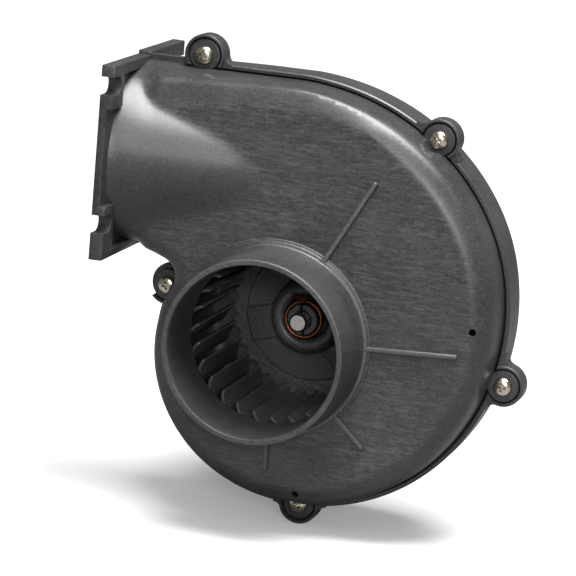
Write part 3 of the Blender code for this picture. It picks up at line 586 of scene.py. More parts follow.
def inlet_collar():
    s = shape()
    face, front = s.face_y, s.face_y - s.collar_length
    profile = [(30 * MM, face + 1 * MM, 0), (42.2 * MM, face + 1 * MM, 0), (42.2 * MM, face - 0.55 * MM, 0.5 * MM),
               (41.2 * MM, face - 0.75 * MM, 0.2 * MM), (41.0 * MM, face - 1.3 * MM, 0.4 * MM),
               (39.6 * MM, face - 1.6 * MM, 0.8 * MM), (38.45 * MM, face - 5 * MM, 2 * MM),
               (s.collar_radius, front, 0.7 * MM), (s.collar_bore - 2 * MM, front, 0)]
    return turned("front_collar", rounded(profile, 0.3 * MM, 4))


def build_cover():
    s = shape()
    cover = cover_skin()
    flange, slots = flange_half(front=True)
    added = [inlet_collar()] + flange
    end_x, radius = 66 * MM, s.duct_radius - s.wall
    tip = radius - s.cone_slope * (end_x - CONE_FROM_X)
    cone = duct_bore("cover_duct_bore", (-1 * MM, radius), (CONE_FROM_X, radius), (end_x, tip))
    removed = [cover_hollow(), cone] + slots
    front = s.face_y - s.collar_length
    bore = [(0, front - 1 * MM), (s.collar_bore + 0.9 * MM, front - 1 * MM),
            (s.collar_bore + 0.5 * MM, front - 0.1 * MM), (s.collar_bore, front + 0.7 * MM), (s.collar_bore, -5 * MM),
            (0, -5 * MM)]
    removed.append(turned("collar_bore", bore))
    for i, (x, z) in enumerate(ear_places()):
        added.append(pin(f"ear_pad_{i}", 6.7 * MM, -5 * MM, -0.3 * MM, x, z, 40, edge=0.6 * MM))
        removed.append(pin(f"ear_pocket_{i}", 4.9 * MM, -30 * MM, -5 * MM, x, z, 36))
        removed.append(pin(f"ear_hole_{i}", SCREW_HOLE, -9 * MM, 3 * MM, x, z, 20))
    for i, (angle, r0, r1) in enumerate(RIBS):
        added.append(block(f"rib_{i}", (r0, s.face_y - 1.55 * MM, -1.1 * MM), (r1, s.face_y + 1.5 * MM, 1.1 * MM),
                           edge=0.75 * MM, steps=3, turn=angle))
    for i, (x, z) in enumerate(DRAIN_HOLES):
        removed.append(pin(f"drain_{i}", 1.5 * MM, s.face_y - 3 * MM, s.face_y + 6 * MM, AXIS_X + x, AXIS_Z + z, 24))
    bosses = [pin(f"boss_{i}", 6.9 * MM, -30 * MM, 1.6 * MM, x, z, 36) for i, (x, z) in enumerate(ear_places())]
    combined(removed[0], removed=bosses)
    return combined(cover, added, removed)


# ---- rear shell


def rear_section(x, z):
    room = hypot(x - AXIS_X, z - AXIS_Z) + shape().rim - WHEEL_ROOM
    scroll_round = min(max(room, 7 * MM), REAR_ROUND)
    duct = smooth_step((58 * MM - x) / (46 * MM)) * smooth_step((z + 50 * MM) / (8 * MM))
    return REAR_WALL_Y * (1 - duct) + 1 * MM * duct, scroll_round * (1 - duct) + 37 * MM * duct


def rear_rings(points, wall, steps):
    """Rings from the straight wall, over the big round, to the flat back."""
    normals = outward(points)
    rings = []
    sections = [rear_section(x, z) for x, z in points]
    for k in range(steps + 1):
        angle = pi / 2 * k / steps
        ring = []
        for (x, z), (nx, nz), (wall_y, width) in zip(points, normals, sections):
            inset = wall + (width - wall) * (1 - cos(angle)) + (0.4 * MM if k == 0 and wall else 0)
            px = x - nx * inset
            ring.append((max(px, HOLLOW_FROM_X) if wall else px,
                         wall_y + (BACK_Y - wall - wall_y) * sin(angle), z - nz * inset))
        rings.append(ring)
    return rings


def flat_ring(points, y):
    return [(x, y, z) for x, z in points]


def ear_webs(i, x, z, rim):
    """Concave fillets that run from both sides of an ear into the rim."""
    near = min(range(len(rim)), key=lambda k: hypot(rim[k][0] - x, rim[k][1] - z))
    nx, nz = outward(rim)[near]
    height = (rim[near][0] - x) * nx + (rim[near][1] - z) * nz
    fillet = 3.4 * MM
    middle = height + fillet
    across = sqrt(max((EAR_R + fillet) ** 2 - middle ** 2, (0.5 * MM) ** 2))
    webs = []
    for side in (-1, 1):
        start = pi + atan2(middle, across)
        points = [(across, height - 1.3 * MM), (0.4 * EAR_R, height - 1.3 * MM), (0.4 * EAR_R, height + 0.5 * MM)]
        for k in range(9):
            a = start + (1.5 * pi - start) * k / 8
            points.append((across + fillet * cos(a), middle + fillet * sin(a)))
        outline = [(x + side * u * nz + v * nx, z - side * u * nx + v * nz) for u, v in points]
        webs.append(prism_along_y(f"ear_web_{i}_{side + 1}", outline, LIP_Y, EAR_BACK_Y - 0.5 * MM))
    return webs


def build_rear():
    s = shape()
    edge = cover_outline()
    rim = rear_outline()
    lip = [flat_ring(rear_outline(inside=0.5 * MM), LIP_Y), flat_ring(rim, LIP_Y + 0.5 * MM),
           flat_ring(rim, -1 * MM)]
    outer = lip + rear_rings(rim, 0.0, 14)
    bm = bmesh.new()
    lofted(bm, outer)
    shell = mesh_object("rear_housing_shell", bm, sharp=40)
    bm = bmesh.new()
    inside = rear_outline(5.0)
    start = [flat_ring([(max(x, HOLLOW_FROM_X), z) for x, z in grown(cover_outline(5.0), -s.rim)], -1 * MM)]
    lofted(bm, start + rear_rings(inside, s.wall, 7))
    hollow = mesh_object("rear_hollow", bm)
    bm = bmesh.new()
    seat = grown(edge, 0.45 * MM)
    lofted(bm, [flat_ring(grown(edge, 0.9 * MM), LIP_Y - 1 * MM), flat_ring(grown(edge, 0.85 * MM), LIP_Y),
                flat_ring(seat, LIP_Y + 0.5 * MM), flat_ring(seat, SEAM)])
    seat_tool = mesh_object("rear_seat", bm)
    flange, slots = flange_half(front=False)
    added, removed = [], []
    for i, (x, z) in enumerate(ear_places()):
        profile = [(0, LIP_Y - 1 * MM), (EAR_R, LIP_Y - 1 * MM), (EAR_R, EAR_BACK_Y, 1 * MM),
                   (4.8 * MM, EAR_BACK_Y, 0.3 * MM), (4.8 * MM, 10 * MM, 0.8 * MM), (0, 10 * MM)]
        added.append(turned(f"ear_{i}", rounded(profile, 0.6 * MM, 4), 48, at=(x, 0, z)))
        if i != 4:
            added += ear_webs(i, x, z, rim)
        removed.append(turned(f"ear_recess_{i}", rounded(
            [(0, -9 * MM), (7.6 * MM, -9 * MM, 0), (7.5 * MM, LIP_Y - 0.7 * MM, 0), (7.1 * MM, LIP_Y, 0.3 * MM),
             (7.1 * MM, SEAM, 0), (0, SEAM)], 0.0), 40, at=(x, 0, z)))
        removed.append(pin(f"ear_bore_{i}", SCREW_HOLE, -1 * MM, 8.5 * MM, x, z, 20))
    parting = block("rear_parting", (-10 * MM, -20 * MM, -60 * MM), (LIP_FROM_X, SEAM, 60 * MM))
    radius = s.duct_radius - s.wall
    duct = duct_bore("rear_duct_bore", (-1 * MM, radius), (8 * MM, radius))
    motor_hole = pin("rear_motor_hole", 13.2 * MM, 30 * MM, 50 * MM, AXIS_X, AXIS_Z, 64)
    for i, (x, z) in enumerate(places_round(21 * MM, MOTOR_SCREWS)):
        removed.append(pin(f"motor_screw_hole_{i}", 3.6 * MM, 36 * MM, 39.2 * MM, x, z, 24))
    removed = [parting, seat_tool, hollow, duct, motor_hole] + slots + removed
    combined(shell, added, [])
    combined(shell, [], removed[:2])
    return combined(shell, flange, removed[2:])


# ---- screws


def phillips_screw(name, x, z, seat, head_r, head_h, shank_r, end, turn):
    """A domed pan head with a cross recess, whose inside faces take a second finish of painted shade."""
    top = seat - head_h
    dome = [(0, top), (head_r * 0.35, top + 0.03 * head_h), (head_r * 0.68, top + 0.16 * head_h),
            (head_r * 0.9, top + 0.4 * head_h), (head_r, top + 0.72 * head_h), (head_r, seat - 0.1 * MM),
            (head_r - 0.15 * MM, seat), (shank_r, seat), (shank_r, end - 0.6 * MM), (shank_r - 0.5 * MM, end),
            (0, end)]
    screw = turned(name, dome, 48, at=(x, 0, z), sharp=50)
    tools = []
    for k in range(2):
        bm = bmesh.new()
        bmesh.ops.create_cube(bm, size=1)
        long, wide, deep = head_r * 1.3, head_r * 0.34, head_h * 1.6
        bmesh.ops.scale(bm, vec=(long, deep, wide), verts=bm.verts)
        for vert in bm.verts:
            if vert.co.y > 0:
                vert.co.x *= 0.45
                vert.co.z *= 0.6
        arm = Matrix.Rotation(radians(turn + 90 * k), 3, "Y")
        bmesh.ops.rotate(bm, verts=bm.verts, cent=(0, 0, 0), matrix=arm)
        bmesh.ops.translate(bm, vec=(x, top + 0.02 * head_h, z), verts=bm.verts)
        tools.append(mesh_object(f"{name}_recess_{k}", bm))
    combined(screw, removed=tools, sharp=50)
    # Painted shade: faces inside the cross recess take material slot 1, the near-black recess finish.
    for face in screw.data.polygons:
        inside = hypot(face.center.x - x, face.center.z - z) < 0.66 * head_r
        face.material_index = int(inside and top + 0.3 * MM < face.center.y < seat)
    return screw


# ---- wheel


def blade_outline(turn, thickness):
    steps = 7
    inner, outer, sweep = 33.8 * MM, 41 * MM, 11.5
    centre = []
    for k in range(steps + 1):
        t = k / steps
        r = inner + (outer - inner) * t
        a = turn + radians(sweep) * t ** 1.5
        centre.append((r * cos(a), r * sin(a)))
    left, right = [], []
    for k, (x, z) in enumerate(centre):
        (x0, z0), (x1, z1) = centre[max(k - 1, 0)], centre[min(k + 1, steps)]
        length = hypot(x1 - x0, z1 - z0)
        half = thickness / 2 * (0.45 if k in (0, steps) else 1.0)
        nx, nz = -(z1 - z0) / length * half, (x1 - x0) / length * half
        left.append((x + nx, z + nz))
        right.append((x - nx, z - nz))
    return left + right[::-1]


def plate_outline(count):
    steps = 14
    points = []
    for k in range(count * steps):
        phase = (k % steps) / steps
        r = 33.4 * MM + 3.0 * MM * (0.5 + 0.5 * cos(2 * pi * phase)) ** 0.6
        a = 2 * pi * (k / (count * steps)) + radians(2.0)
        points.append((r * cos(a), r * sin(a)))
    return points


def build_wheel():
    count = shape().blades
    at = (AXIS_X, 0, AXIS_Z)
    plate = prism_along_y("blower_wheel_moulding", plate_outline(count), 35.2 * MM, 37 * MM, edge=0.25 * MM, at=at)
    added = [prism_along_y(f"blade_{k}", blade_outline(2 * pi * k / count, 1.3 * MM), -16 * MM, 36.2 * MM,
                           edge=0.22 * MM, at=at) for k in range(count)]
    ring = mm((39.2, -16.4), (41.6, -16.4), (41.6, -13.8), (39.2, -13.8))
    added.append(turned("wheel_ring", rounded(ring, 0.5 * MM)))
    hub = mm((0, 19.6), (6.6, 19.6, 0.5), (6.6, 32, 0.8), (8.9, 32, 1), (9.2, 26.5, 1.5), (10.4, 23.9, 1.4),
             (13.6, 23.7, 1.6), (16.2, 27.4, 2.2), (16.5, 34.4, 0.6), (28.6, 34.4, 0.3), (29.2, 35, 0.3),
             (29.6, 36.4, 0), (8, 37.9, 0), (0, 37.9))
    added.append(turned("wheel_hub", rounded(hub, 0.3 * MM, 4), 96))
    for k in range(3):
        added.append(block(f"wheel_arm_{k}", (13.5 * MM, 32.0 * MM, -7.4 * MM), (28.2 * MM, 35.5 * MM, 7.4 * MM),
                           edge=0.9 * MM, steps=3, turn=197 + 120 * k))
    bore = turned("wheel_bore", [(0, 0), (SHAFT_HOLE, 0), (SHAFT_HOLE, 60 * MM), (0, 60 * MM)], 48)
    split = block("collar_split", (-7 * MM, 17.6 * MM, -0.6 * MM), (7 * MM, 30 * MM, 0.6 * MM), turn=98)
    return combined(plate, added, [bore, split])


def build_clamp():
    """Double-turn spring wire round the hub's collar; its ends cross on top and stand up clear of it."""
    wire, ring_r = 0.65 * MM, 7.65 * MM
    first, last, steps = 105, 808, 150
    path = [Vector(p) * MM for p in ((1.3, 18.9, 11.4), (1.0, 19.7, 9.3), (0.2, 20.5, 8.1))]
    for k in range(steps + 1):
        a = radians(first + (last - first) * k / steps)
        path.append(Vector((ring_r * cos(a), (20.9 + 3.4 * k / steps) * MM, ring_r * sin(a))))
    path += [Vector(p) * MM for p in ((-2.2, 23.7, 8.6), (-6.0, 21.2, 10.1))]
    return swept("hub_clamp_wire", soften(path, 2), wire, Vector((AXIS_X, 0, AXIS_Z)))


def soften(path, rounds):
    """Cut the corners of an open path, keeping its ends."""
    for _ in range(rounds):
        cut = [path[0]]
        for a, b in zip(path, path[1:]):
            cut += [a * 0.75 + b * 0.25, a * 0.25 + b * 0.75]
        path = cut + [path[-1]]
    return path


def swept(name, path, radius, at, sides=12):
    """A round wire along a path, extruded ring by ring."""
    bm = bmesh.new()
    side = Vector((0, 1, 0))
    rings = []
    last = len(path) - 1
    small, step = radius * 0.7, 0.25 * MM
    ends = {0: ((small, 0), (radius, step)), last: ((radius, 0), (small, step))}
    for i, point in enumerate(path):
        along = (path[min(i + 1, last)] - path[max(i - 1, 0)]).normalized()
        side = (side - along * side.dot(along)).normalized()
        other = along.cross(side)
        for r, ahead in ends.get(i, ((radius, 0),)):
            middle = point + at + along * ahead
            rings.append([tuple(middle + (side * cos(2 * pi * k / sides) + other * sin(2 * pi * k / sides)) * r)
                          for k in range(sides)])
    lofted(bm, rings)
    return mesh_object(name, bm)


def build_shaft():
    start, end, r = SHAFT_LOW[1], SHAFT_HIGH[1], 3.97 * MM
    profile = [(0, start), (r - 0.75 * MM, start), (r, start + 0.75 * MM), (r, end - 0.4 * MM),
               (r - 0.4 * MM, end), (0, end)]
    return turned("motor_shaft_rod", profile, 64)


# ---- motor


def screw_holes(name, y0, y1, places):
    return [pin(f"{name}_{i}", SCREW_HOLE, y0, y1, x, z, 20) for i, (x, z) in enumerate(places)]


def build_can():
    low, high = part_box("motor_can")
    r = (high[0] - low[0]) / 2
    profile = [(r - 2 * MM, low[1]), (r - 0.5 * MM, low[1]), (r, low[1] + 0.5 * MM)]
    for place in (0.12, 0.88):
        y = low[1] + (high[1] - low[1]) * place
        profile += [(r, y - 1.2 * MM), (r - 0.45 * MM, y - 0.7 * MM), (r - 0.45 * MM, y + 0.7 * MM),
                    (r, y + 1.2 * MM)]
    profile += [(r, high[1] - 0.5 * MM), (r - 0.5 * MM, high[1]), (r - 2 * MM, high[1])]
    return turned("motor_can_shell", profile)


def build_bell():
    low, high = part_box("motor_front_bell")
    r = (high[0] - low[0]) / 2
    y0, y1 = 42.8 * MM, high[1]
    profile = [(SHAFT_HOLE, 38.8 * MM), (12.6 * MM, 38.8 * MM), (12.8 * MM, y0, 0), (r - 0.2 * MM, y0, 1.2 * MM),
               (r, y1, 0.6 * MM), (r - 3 * MM, y1, 0), (r - 3 * MM, y0 + 4 * MM, 0), (12.5 * MM, y0 + 4 * MM, 0),
               (12.5 * MM, y1, 0), (9.3 * MM, y1, 0), (9.3 * MM, y0 + 2.2 * MM, 0), (SHAFT_HOLE, y0 + 2.2 * MM, 0)]
    bell = turned("motor_front_bell_casting", rounded(profile, 0.3 * MM, 4))
    tools = screw_holes("bell_hole", 40 * MM, 50 * MM, places_round(21 * MM, MOTOR_SCREWS))
    tools += screw_holes("bell_bolt", 49.5 * MM, 60 * MM, places_round(26 * MM, THROUGH_BOLTS))
    return combined(bell, removed=tools)


def build_cap():
    low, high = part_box("motor_rear_cap")
    r = (high[0] - low[0]) / 2
    y0, y1 = low[1], high[1]
    profile = [(4.87 * MM, y0 + 8.2 * MM, 0), (9.3 * MM, y0 + 8.2 * MM, 0), (9.3 * MM, y0 + 2 * MM, 0),
               (12 * MM, y0 + 2 * MM, 0), (12 * MM, y1 - 5 * MM, 0), (r - 2.5 * MM, y1 - 5 * MM, 0),
               (r - 2.5 * MM, y0, 0), (r, y0, 0.4 * MM), (r, y1 - 0.6 * MM, 3 * MM), (16 * MM, y1 - 0.6 * MM, 0.4 * MM),
               (15 * MM, y1, 0.4 * MM), (0, y1, 0), (0, y1 - 3 * MM, 0)]
    cap = turned("motor_rear_cap_shell", rounded(profile, 0.3 * MM, 5))
    tools = screw_holes("cap_bolt", 110 * MM, 140 * MM, places_round(26 * MM, THROUGH_BOLTS))
    tools.append(pin("cap_grommet", 4.3 * MM, 110 * MM, 140 * MM, AXIS_X, AXIS_Z - 20 * MM, 28))
    return combined(cap, removed=tools)


def build_bolt(i, x, z):
    low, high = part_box(f"through_bolt_{i}")
    head = high[1] - 2.6 * MM
    profile = [(0, low[1]), (1.5 * MM, low[1]), (1.9 * MM, low[1] + 0.4 * MM), (1.9 * MM, head)]
    profile += [(3.4 * MM, head), (3.4 * MM, head + 1.4 * MM), (2.9 * MM, head + 2.1 * MM), (1.6 * MM, high[1]),
                (0, high[1])]
    bolt = turned(f"through_bolt_{i}_fine", profile, 40, at=(x, 0, z))
    half_long, half_wide = 5 * MM, 0.45 * MM
    slot = block(f"bolt_slot_{i}", (x - half_long, head + 1.3 * MM, z - half_wide),
                 (x + half_long, high[1] + 1 * MM, z + half_wide))
    return combined(bolt, removed=[slot])


def build_grommet():
    low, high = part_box("lead_grommet")
    x, z = (low[0] + high[0]) / 2, (low[2] + high[2]) / 2
    y0, y1 = low[1], high[1]
    profile = [(1.8 * MM, y0), (4.0 * MM, y0), (4.0 * MM, y1 - 2.5 * MM, 0), (5.6 * MM, y1 - 2.5 * MM, 0.4 * MM),
               (5.1 * MM, y1 - 0.3 * MM, 0.7 * MM), (2.6 * MM, y1, 0.5 * MM), (1.8 * MM, y1 - 0.4 * MM, 0.3 * MM)]
    return turned("lead_grommet_moulding", rounded(profile, 0.2 * MM), 48, at=(x, 0, z))


# ---- materials


class Tree:
    """Short names for adding and joining shader nodes."""

    def __init__(self, tree):
        self.tree = tree
        self.count = 0

    def add(self, kind, **values):
        node = self.tree.nodes.new(kind)
        node.location = (-1400 + 190 * (self.count // 4), 300 - 240 * (self.count % 4))
        self.count += 1
        for name, value in values.items():
            setattr(node, name, value)
        return node

    def link(self, out, into):
        self.tree.links.new(out, into)

    def put(self, target, value):
        if isinstance(value, bpy.types.NodeSocket):
            self.link(value, target)
        else:
            target.default_value = value

    def math(self, operation, a, b=0.0, clamp=False):
        node = self.add("ShaderNodeMath", operation=operation, use_clamp=clamp)
        self.put(node.inputs[0], a)
        self.put(node.inputs[1], b)
        return node.outputs[0]

    def noise(self, vector, scale, detail=3.0, roughness=0.5):
        node = self.add("ShaderNodeTexNoise")
        self.link(vector, node.inputs["Vector"])
        self.put(node.inputs["Scale"], scale)
        node.inputs["Detail"].default_value = detail
        node.inputs["Roughness"].default_value = roughness
        return node.outputs["Fac"]

    def stretch(self, vector, scale, turn=(0, 0, 0), shift=(0, 0, 0)):
        node = self.add("ShaderNodeMapping")
        self.link(vector, node.inputs["Vector"])
        node.inputs["Scale"].default_value = scale
        node.inputs["Rotation"].default_value = turn
        node.inputs["Location"].default_value = shift
        return node.outputs["Vector"]

    def between(self, value, low, high, to_low=0.0, to_high=1.0):
        node = self.add("ShaderNodeMapRange")
        self.link(value, node.inputs["Value"])
        for name, number in (("From Min", low), ("From Max", high), ("To Min", to_low), ("To Max", to_high)):
            node.inputs[name].default_value = number
        return node.outputs["Result"]

    def mix(self, factor, a, b):
        node = self.add("ShaderNodeMix", data_type="RGBA")
        self.put(node.inputs["Factor"], factor)
        self.put(node.inputs["A"], a)
        self.put(node.inputs["B"], b)
        return node.outputs["Result"]


def new_group(name, inputs, outputs):
    """A node group with its sockets, and the Tree, inputs and outputs to fill it with."""
    group = bpy.data.node_groups.new(name, "ShaderNodeTree")
    group.interface.new_socket(name="Vector", in_out="INPUT", socket_type="NodeSocketVector")
    for label, value in inputs.items():
        made = group.interface.new_socket(name=label, in_out="INPUT", socket_type="NodeSocketFloat")
        made.default_value = value
    for label in outputs:
        group.interface.new_socket(name=label, in_out="OUTPUT", socket_type="NodeSocketFloat")
    t = Tree(group)
    return t, t.add("NodeGroupInput").outputs, t.add("NodeGroupOutput").inputs


def moulded_group():
    """Moulded plastic's fine skin: soft blotches, pepper, and a small bump."""
    scales = {"Grain Scale": 900.0, "Cloud Scale": 35.0}
    t, start, end = new_group("Moulded Skin", scales, ("Tone", "Rough", "Height"))
    cloud = t.noise(start["Vector"], start["Cloud Scale"], 4.0, 0.6)
    grain = t.noise(start["Vector"], start["Grain Scale"], 2.0, 0.6)
    tone = t.math("ADD", t.math("MULTIPLY", cloud, 0.4), t.math("MULTIPLY", grain, 0.6))
    t.link(t.between(tone, 0.36, 0.64), end["Tone"])
    t.link(t.between(cloud, 0.3, 0.7), end["Rough"])
    t.link(grain, end["Height"])


def scuff_group():
    """Rubbed streaks along X on a flat face: fine lines broken up by patches."""
    t, start, end = new_group("Rubbed Streaks", {"Amount": 0.5}, ("Mask", "Height"))
    vector = start["Vector"]
    fine = t.noise(t.stretch(vector, (240, 600, 1500)), 1.0, 5.0, 0.7)
    long = t.noise(t.stretch(vector, (60, 300, 700), turn=(0, radians(4), 0)), 1.0, 4.0, 0.6)
    patch = t.noise(vector, 60.0, 5.0, 0.62)
    lines = t.between(t.math("ADD", t.math("MULTIPLY", fine, 0.7), t.math("MULTIPLY", long, 0.3)), 0.45, 0.72)
    patches = t.between(patch, 0.3, 0.75, 0.25, 1.0)
    mask = t.math("MULTIPLY", t.math("MULTIPLY", lines, patches), start["Amount"], clamp=True)
    t.link(mask, end["Mask"])
    t.link(t.math("ADD", fine, long), end["Height"])


def use_group(t, name, **values):
    """Put a group in a material and return its outputs."""
    node = t.add("ShaderNodeGroup")
    node.node_tree = bpy.data.node_groups[name]
    for label, value in values.items():
        t.put(node.inputs[label.replace("_", " ")], value)
    return node.outputs


def bump(t, height, strength, distance, below=None):
    node = t.add("ShaderNodeBump")
    t.link(height, node.inputs["Height"])
    node.inputs["Strength"].default_value = strength
    node.inputs["Distance"].default_value = distance
    if below:
        t.link(below, node.inputs["Normal"])
    return node.outputs["Normal"]


def new_material(name, metallic=0.0, roughness=0.5):
    mat = bpy.data.materials.new(name)
    mat.use_nodes = True
    t = Tree(mat.node_tree)
    into = mat.node_tree.nodes["Principled BSDF"].inputs
    into["Metallic"].default_value = metallic
    into["Roughness"].default_value = roughness
    place = t.add("ShaderNodeTexCoord").outputs["Object"]
    return mat, t, into, place


def rgba(color, scale=1.0):
    return (*[c * scale for c in color], 1.0)


def housing_plastic(name, color, streaks, face_y=None):
    """Charcoal moulded plastic, rubbed along its flat face, with a painted highlight along the collar's mouth and the
    ribs' tops.
    """
    mat, t, into, place = new_material(name)
    skin = use_group(t, "Moulded Skin", Vector=place)
    scuffs = use_group(t, "Rubbed Streaks", Vector=place, Amount=streaks)
    base = t.mix(skin["Tone"], rgba(color, 0.6), rgba(color, 1.5))
    mask = scuffs["Mask"]
    if face_y is not None:
        split = t.add("ShaderNodeSeparateXYZ")
        t.link(place, split.inputs[0])
        axes = split.outputs
        off = t.math("ABSOLUTE", t.math("SUBTRACT", axes["Y"], face_y))
        on_face = t.between(off, 0.1 * MM, 1.2 * MM, 1.0, 0.2)
        mask = t.math("MULTIPLY", mask, on_face)
        # Painted highlight: a pale band along the collar's mouth edge and along the ribs' tops beyond the duct, broken
        # up in patches.
        mouth = face_y - shape().collar_length
        on_mouth = t.between(axes["Y"], mouth + 0.4 * MM, mouth + 1.4 * MM, 0.22, 0.0)
        off_rib = t.math("ABSOLUTE", t.math("SUBTRACT", axes["Y"], face_y - 1.55 * MM))
        on_rib = t.between(off_rib, 0.05 * MM, 0.4 * MM, 0.3, 0.0)
        past_duct = t.math("MAXIMUM", t.between(axes["X"], 67 * MM, 69 * MM),
                           t.between(axes["Z"], -42 * MM, -44 * MM))
        on_rib = t.math("MULTIPLY", on_rib, past_duct)
        patchy = t.between(skin["Tone"], 0.0, 1.0, 0.4, 1.2)
        painted_edge_highlight = t.math("MULTIPLY", t.math("ADD", on_mouth, on_rib), patchy)
        mask = t.math("ADD", mask, painted_edge_highlight, clamp=True)
        streak_height = t.math("MULTIPLY", scuffs["Height"], on_face)
    else:
        streak_height = t.math("MULTIPLY", scuffs["Height"], 0.15)
    t.link(t.mix(mask, base, rgba(finish().scuff)), into["Base Color"])
    rough = t.between(skin["Rough"], 0.0, 1.0, 0.34, 0.43)
    t.link(t.math("ADD", rough, t.math("MULTIPLY", mask, 0.16)), into["Roughness"])
    fine = bump(t, skin["Height"], 0.3, 0.06 * MM)
    t.link(bump(t, streak_height, 0.16, 0.08 * MM, fine), into["Normal"])
    return mat


def metal(name, color, roughness, lines=(1, 1, 1), line_scale=400.0, stain=0.25, strength=0.12):
    """Worn metal with a fine directional finish and slight staining."""
    mat, t, into, place = new_material(name, 1.0, roughness)
    brushed = t.noise(t.stretch(place, lines), line_scale, 4.0, 0.6)
    skin = use_group(t, "Moulded Skin", Vector=place, Cloud_Scale=260.0, Grain_Scale=1500.0)
    base = t.mix(t.math("MULTIPLY", skin["Tone"], stain), rgba(color), rgba(color, 0.45))
    t.link(base, into["Base Color"])
    t.link(t.between(brushed, 0.3, 0.7, roughness * 0.75, roughness * 1.35), into["Roughness"])
    t.link(bump(t, brushed, strength, 0.04 * MM), into["Normal"])
    return mat


def matt(name, color, roughness, spread=0.25, strength=0.25):
    """Plain dull finish with a little grain."""
    mat, t, into, place = new_material(name, 0.0, roughness)
    skin = use_group(t, "Moulded Skin", Vector=place, Grain_Scale=1200.0, Cloud_Scale=90.0)
    t.link(t.mix(skin["Tone"], rgba(color, 1 - spread), rgba(color, 1 + spread)), into["Base Color"])
    t.link(t.between(skin["Rough"], 0, 1, roughness * 0.88, min(roughness * 1.12, 1)),
           into["Roughness"])
    t.link(bump(t, skin["Height"], strength, 0.06 * MM), into["Normal"])
    return mat


def windings(name, color):
    """Enamelled wire: fine turns that follow the axis's circles."""
    mat, t, into, place = new_material(name, 0.0, 0.35)
    wave = t.add("ShaderNodeTexWave", wave_type="RINGS", rings_direction="Y")
    t.link(t.stretch(place, (1, 1, 1), shift=(-AXIS_X, 0, -AXIS_Z)), wave.inputs["Vector"])
    wave.inputs["Scale"].default_value = 320.0
    wave.inputs["Distortion"].default_value = 2.0
    t.link(t.mix(wave.outputs["Fac"], rgba(color, 0.45), rgba(color)), into["Base Color"])
    t.link(bump(t, wave.outputs["Fac"], 0.5, 0.3 * MM), into["Normal"])
    return mat


_finishes = {}


def finishes():
    """All the finishes, made once."""
    if _finishes:
        return _finishes
    moulded_group()
    scuff_group()
    f = finish()
    _finishes.update({
        "housing_plastic": housing_plastic("Charcoal Housing", f.housing, 0.85, shape().face_y),
        "wheel_plastic": housing_plastic("Charcoal Wheel", f.wheel, 0.35),
        "nickel_plate": metal("Warm Nickel", f.nickel, 0.24, stain=0.45),
        # Near-black painted shade for the inside of the screws' cross recesses.
        "recess_grime": matt("Recess Grime", (0.02, 0.017, 0.012), 0.6),
        "bolt_steel": metal("Zinc Plate", (0.55, 0.56, 0.58), 0.32, stain=0.3),
        "spring_steel": metal("Spring Wire", (0.4, 0.4, 0.41), 0.3),
        "clamp_wire": metal("Copper Plate", f.copper, 0.34, stain=0.5),
        "bright_steel": metal("Bright Steel", f.steel, 0.24, lines=(1, 0.05, 1), line_scale=1200.0),
        "cast_aluminium": metal("Cast Aluminium", (0.42, 0.42, 0.42), 0.5, stain=0.3, strength=0.4),
        "sintered_bronze": metal("Sintered Bronze", (0.45, 0.3, 0.15), 0.45, stain=0.4, strength=0.3),
        "lamination_steel": metal("Laminations", (0.28, 0.28, 0.3), 0.45, lines=(0.05, 1, 0.05),
                                  line_scale=2500.0, strength=0.5),
        "commutator_copper": metal("Turned Copper", (0.62, 0.3, 0.17), 0.3, lines=(0.1, 1, 0.1),
                                   line_scale=2000.0),
        "black_paint": matt("Black Paint", (0.024, 0.024, 0.026), 0.38, strength=0.12),
        "black_rubber": matt("Black Rubber", (0.018, 0.018, 0.018), 0.8),
        "ferrite": matt("Ferrite", (0.055, 0.055, 0.06), 0.65),
        "phenolic_board": matt("Laminate Board", (0.18, 0.09, 0.04), 0.6),
        "carbon": matt("Pressed Carbon", (0.026, 0.026, 0.028), 0.6),
        "washer_nylon": matt("Natural Nylon", (0.7, 0.68, 0.62), 0.5, spread=0.06),
        "winding_enamel": windings("Enamelled Wire", (0.42, 0.15, 0.06)),
    })
    return _finishes


def repaint(node, slot):
    """A carried-over CAD node keeps its shape and gets the finish of its slot."""
    obj = frame["nodes"][node]
    obj.data.materials.clear()
    obj.data.materials.append(finishes()[slot])


# ---- stage

CAMERA_AT = (0.44486, -1.30051, 0.23401)
CAMERA_TURN = (78.108, -4.770, 16.950)
CAMERA_LENS = 207.73
# Each light's name, power, size and place.
LIGHTS = (("Front", 8.0, (0.34, 0.18), (0.60, -1.42, 0.36)), ("Tall", 9, (0.6, 1.2), (0.31, -1.29, 0.87)),
          ("Top", 46, (0.9, 0.6), (0.34, -0.20, 1.10)))


def add_light(name, energy, size, place, aim):
    data = bpy.data.lights.new(name, "AREA")
    data.shape = "RECTANGLE"
    data.size, data.size_y = size
    data.energy = energy
    obj = bpy.data.objects.new(name, data)
    obj.location = place
    obj.rotation_euler = (Vector(aim) - Vector(place)).to_track_quat("-Z", "Y").to_euler()
    bpy.context.scene.collection.objects.link(obj)


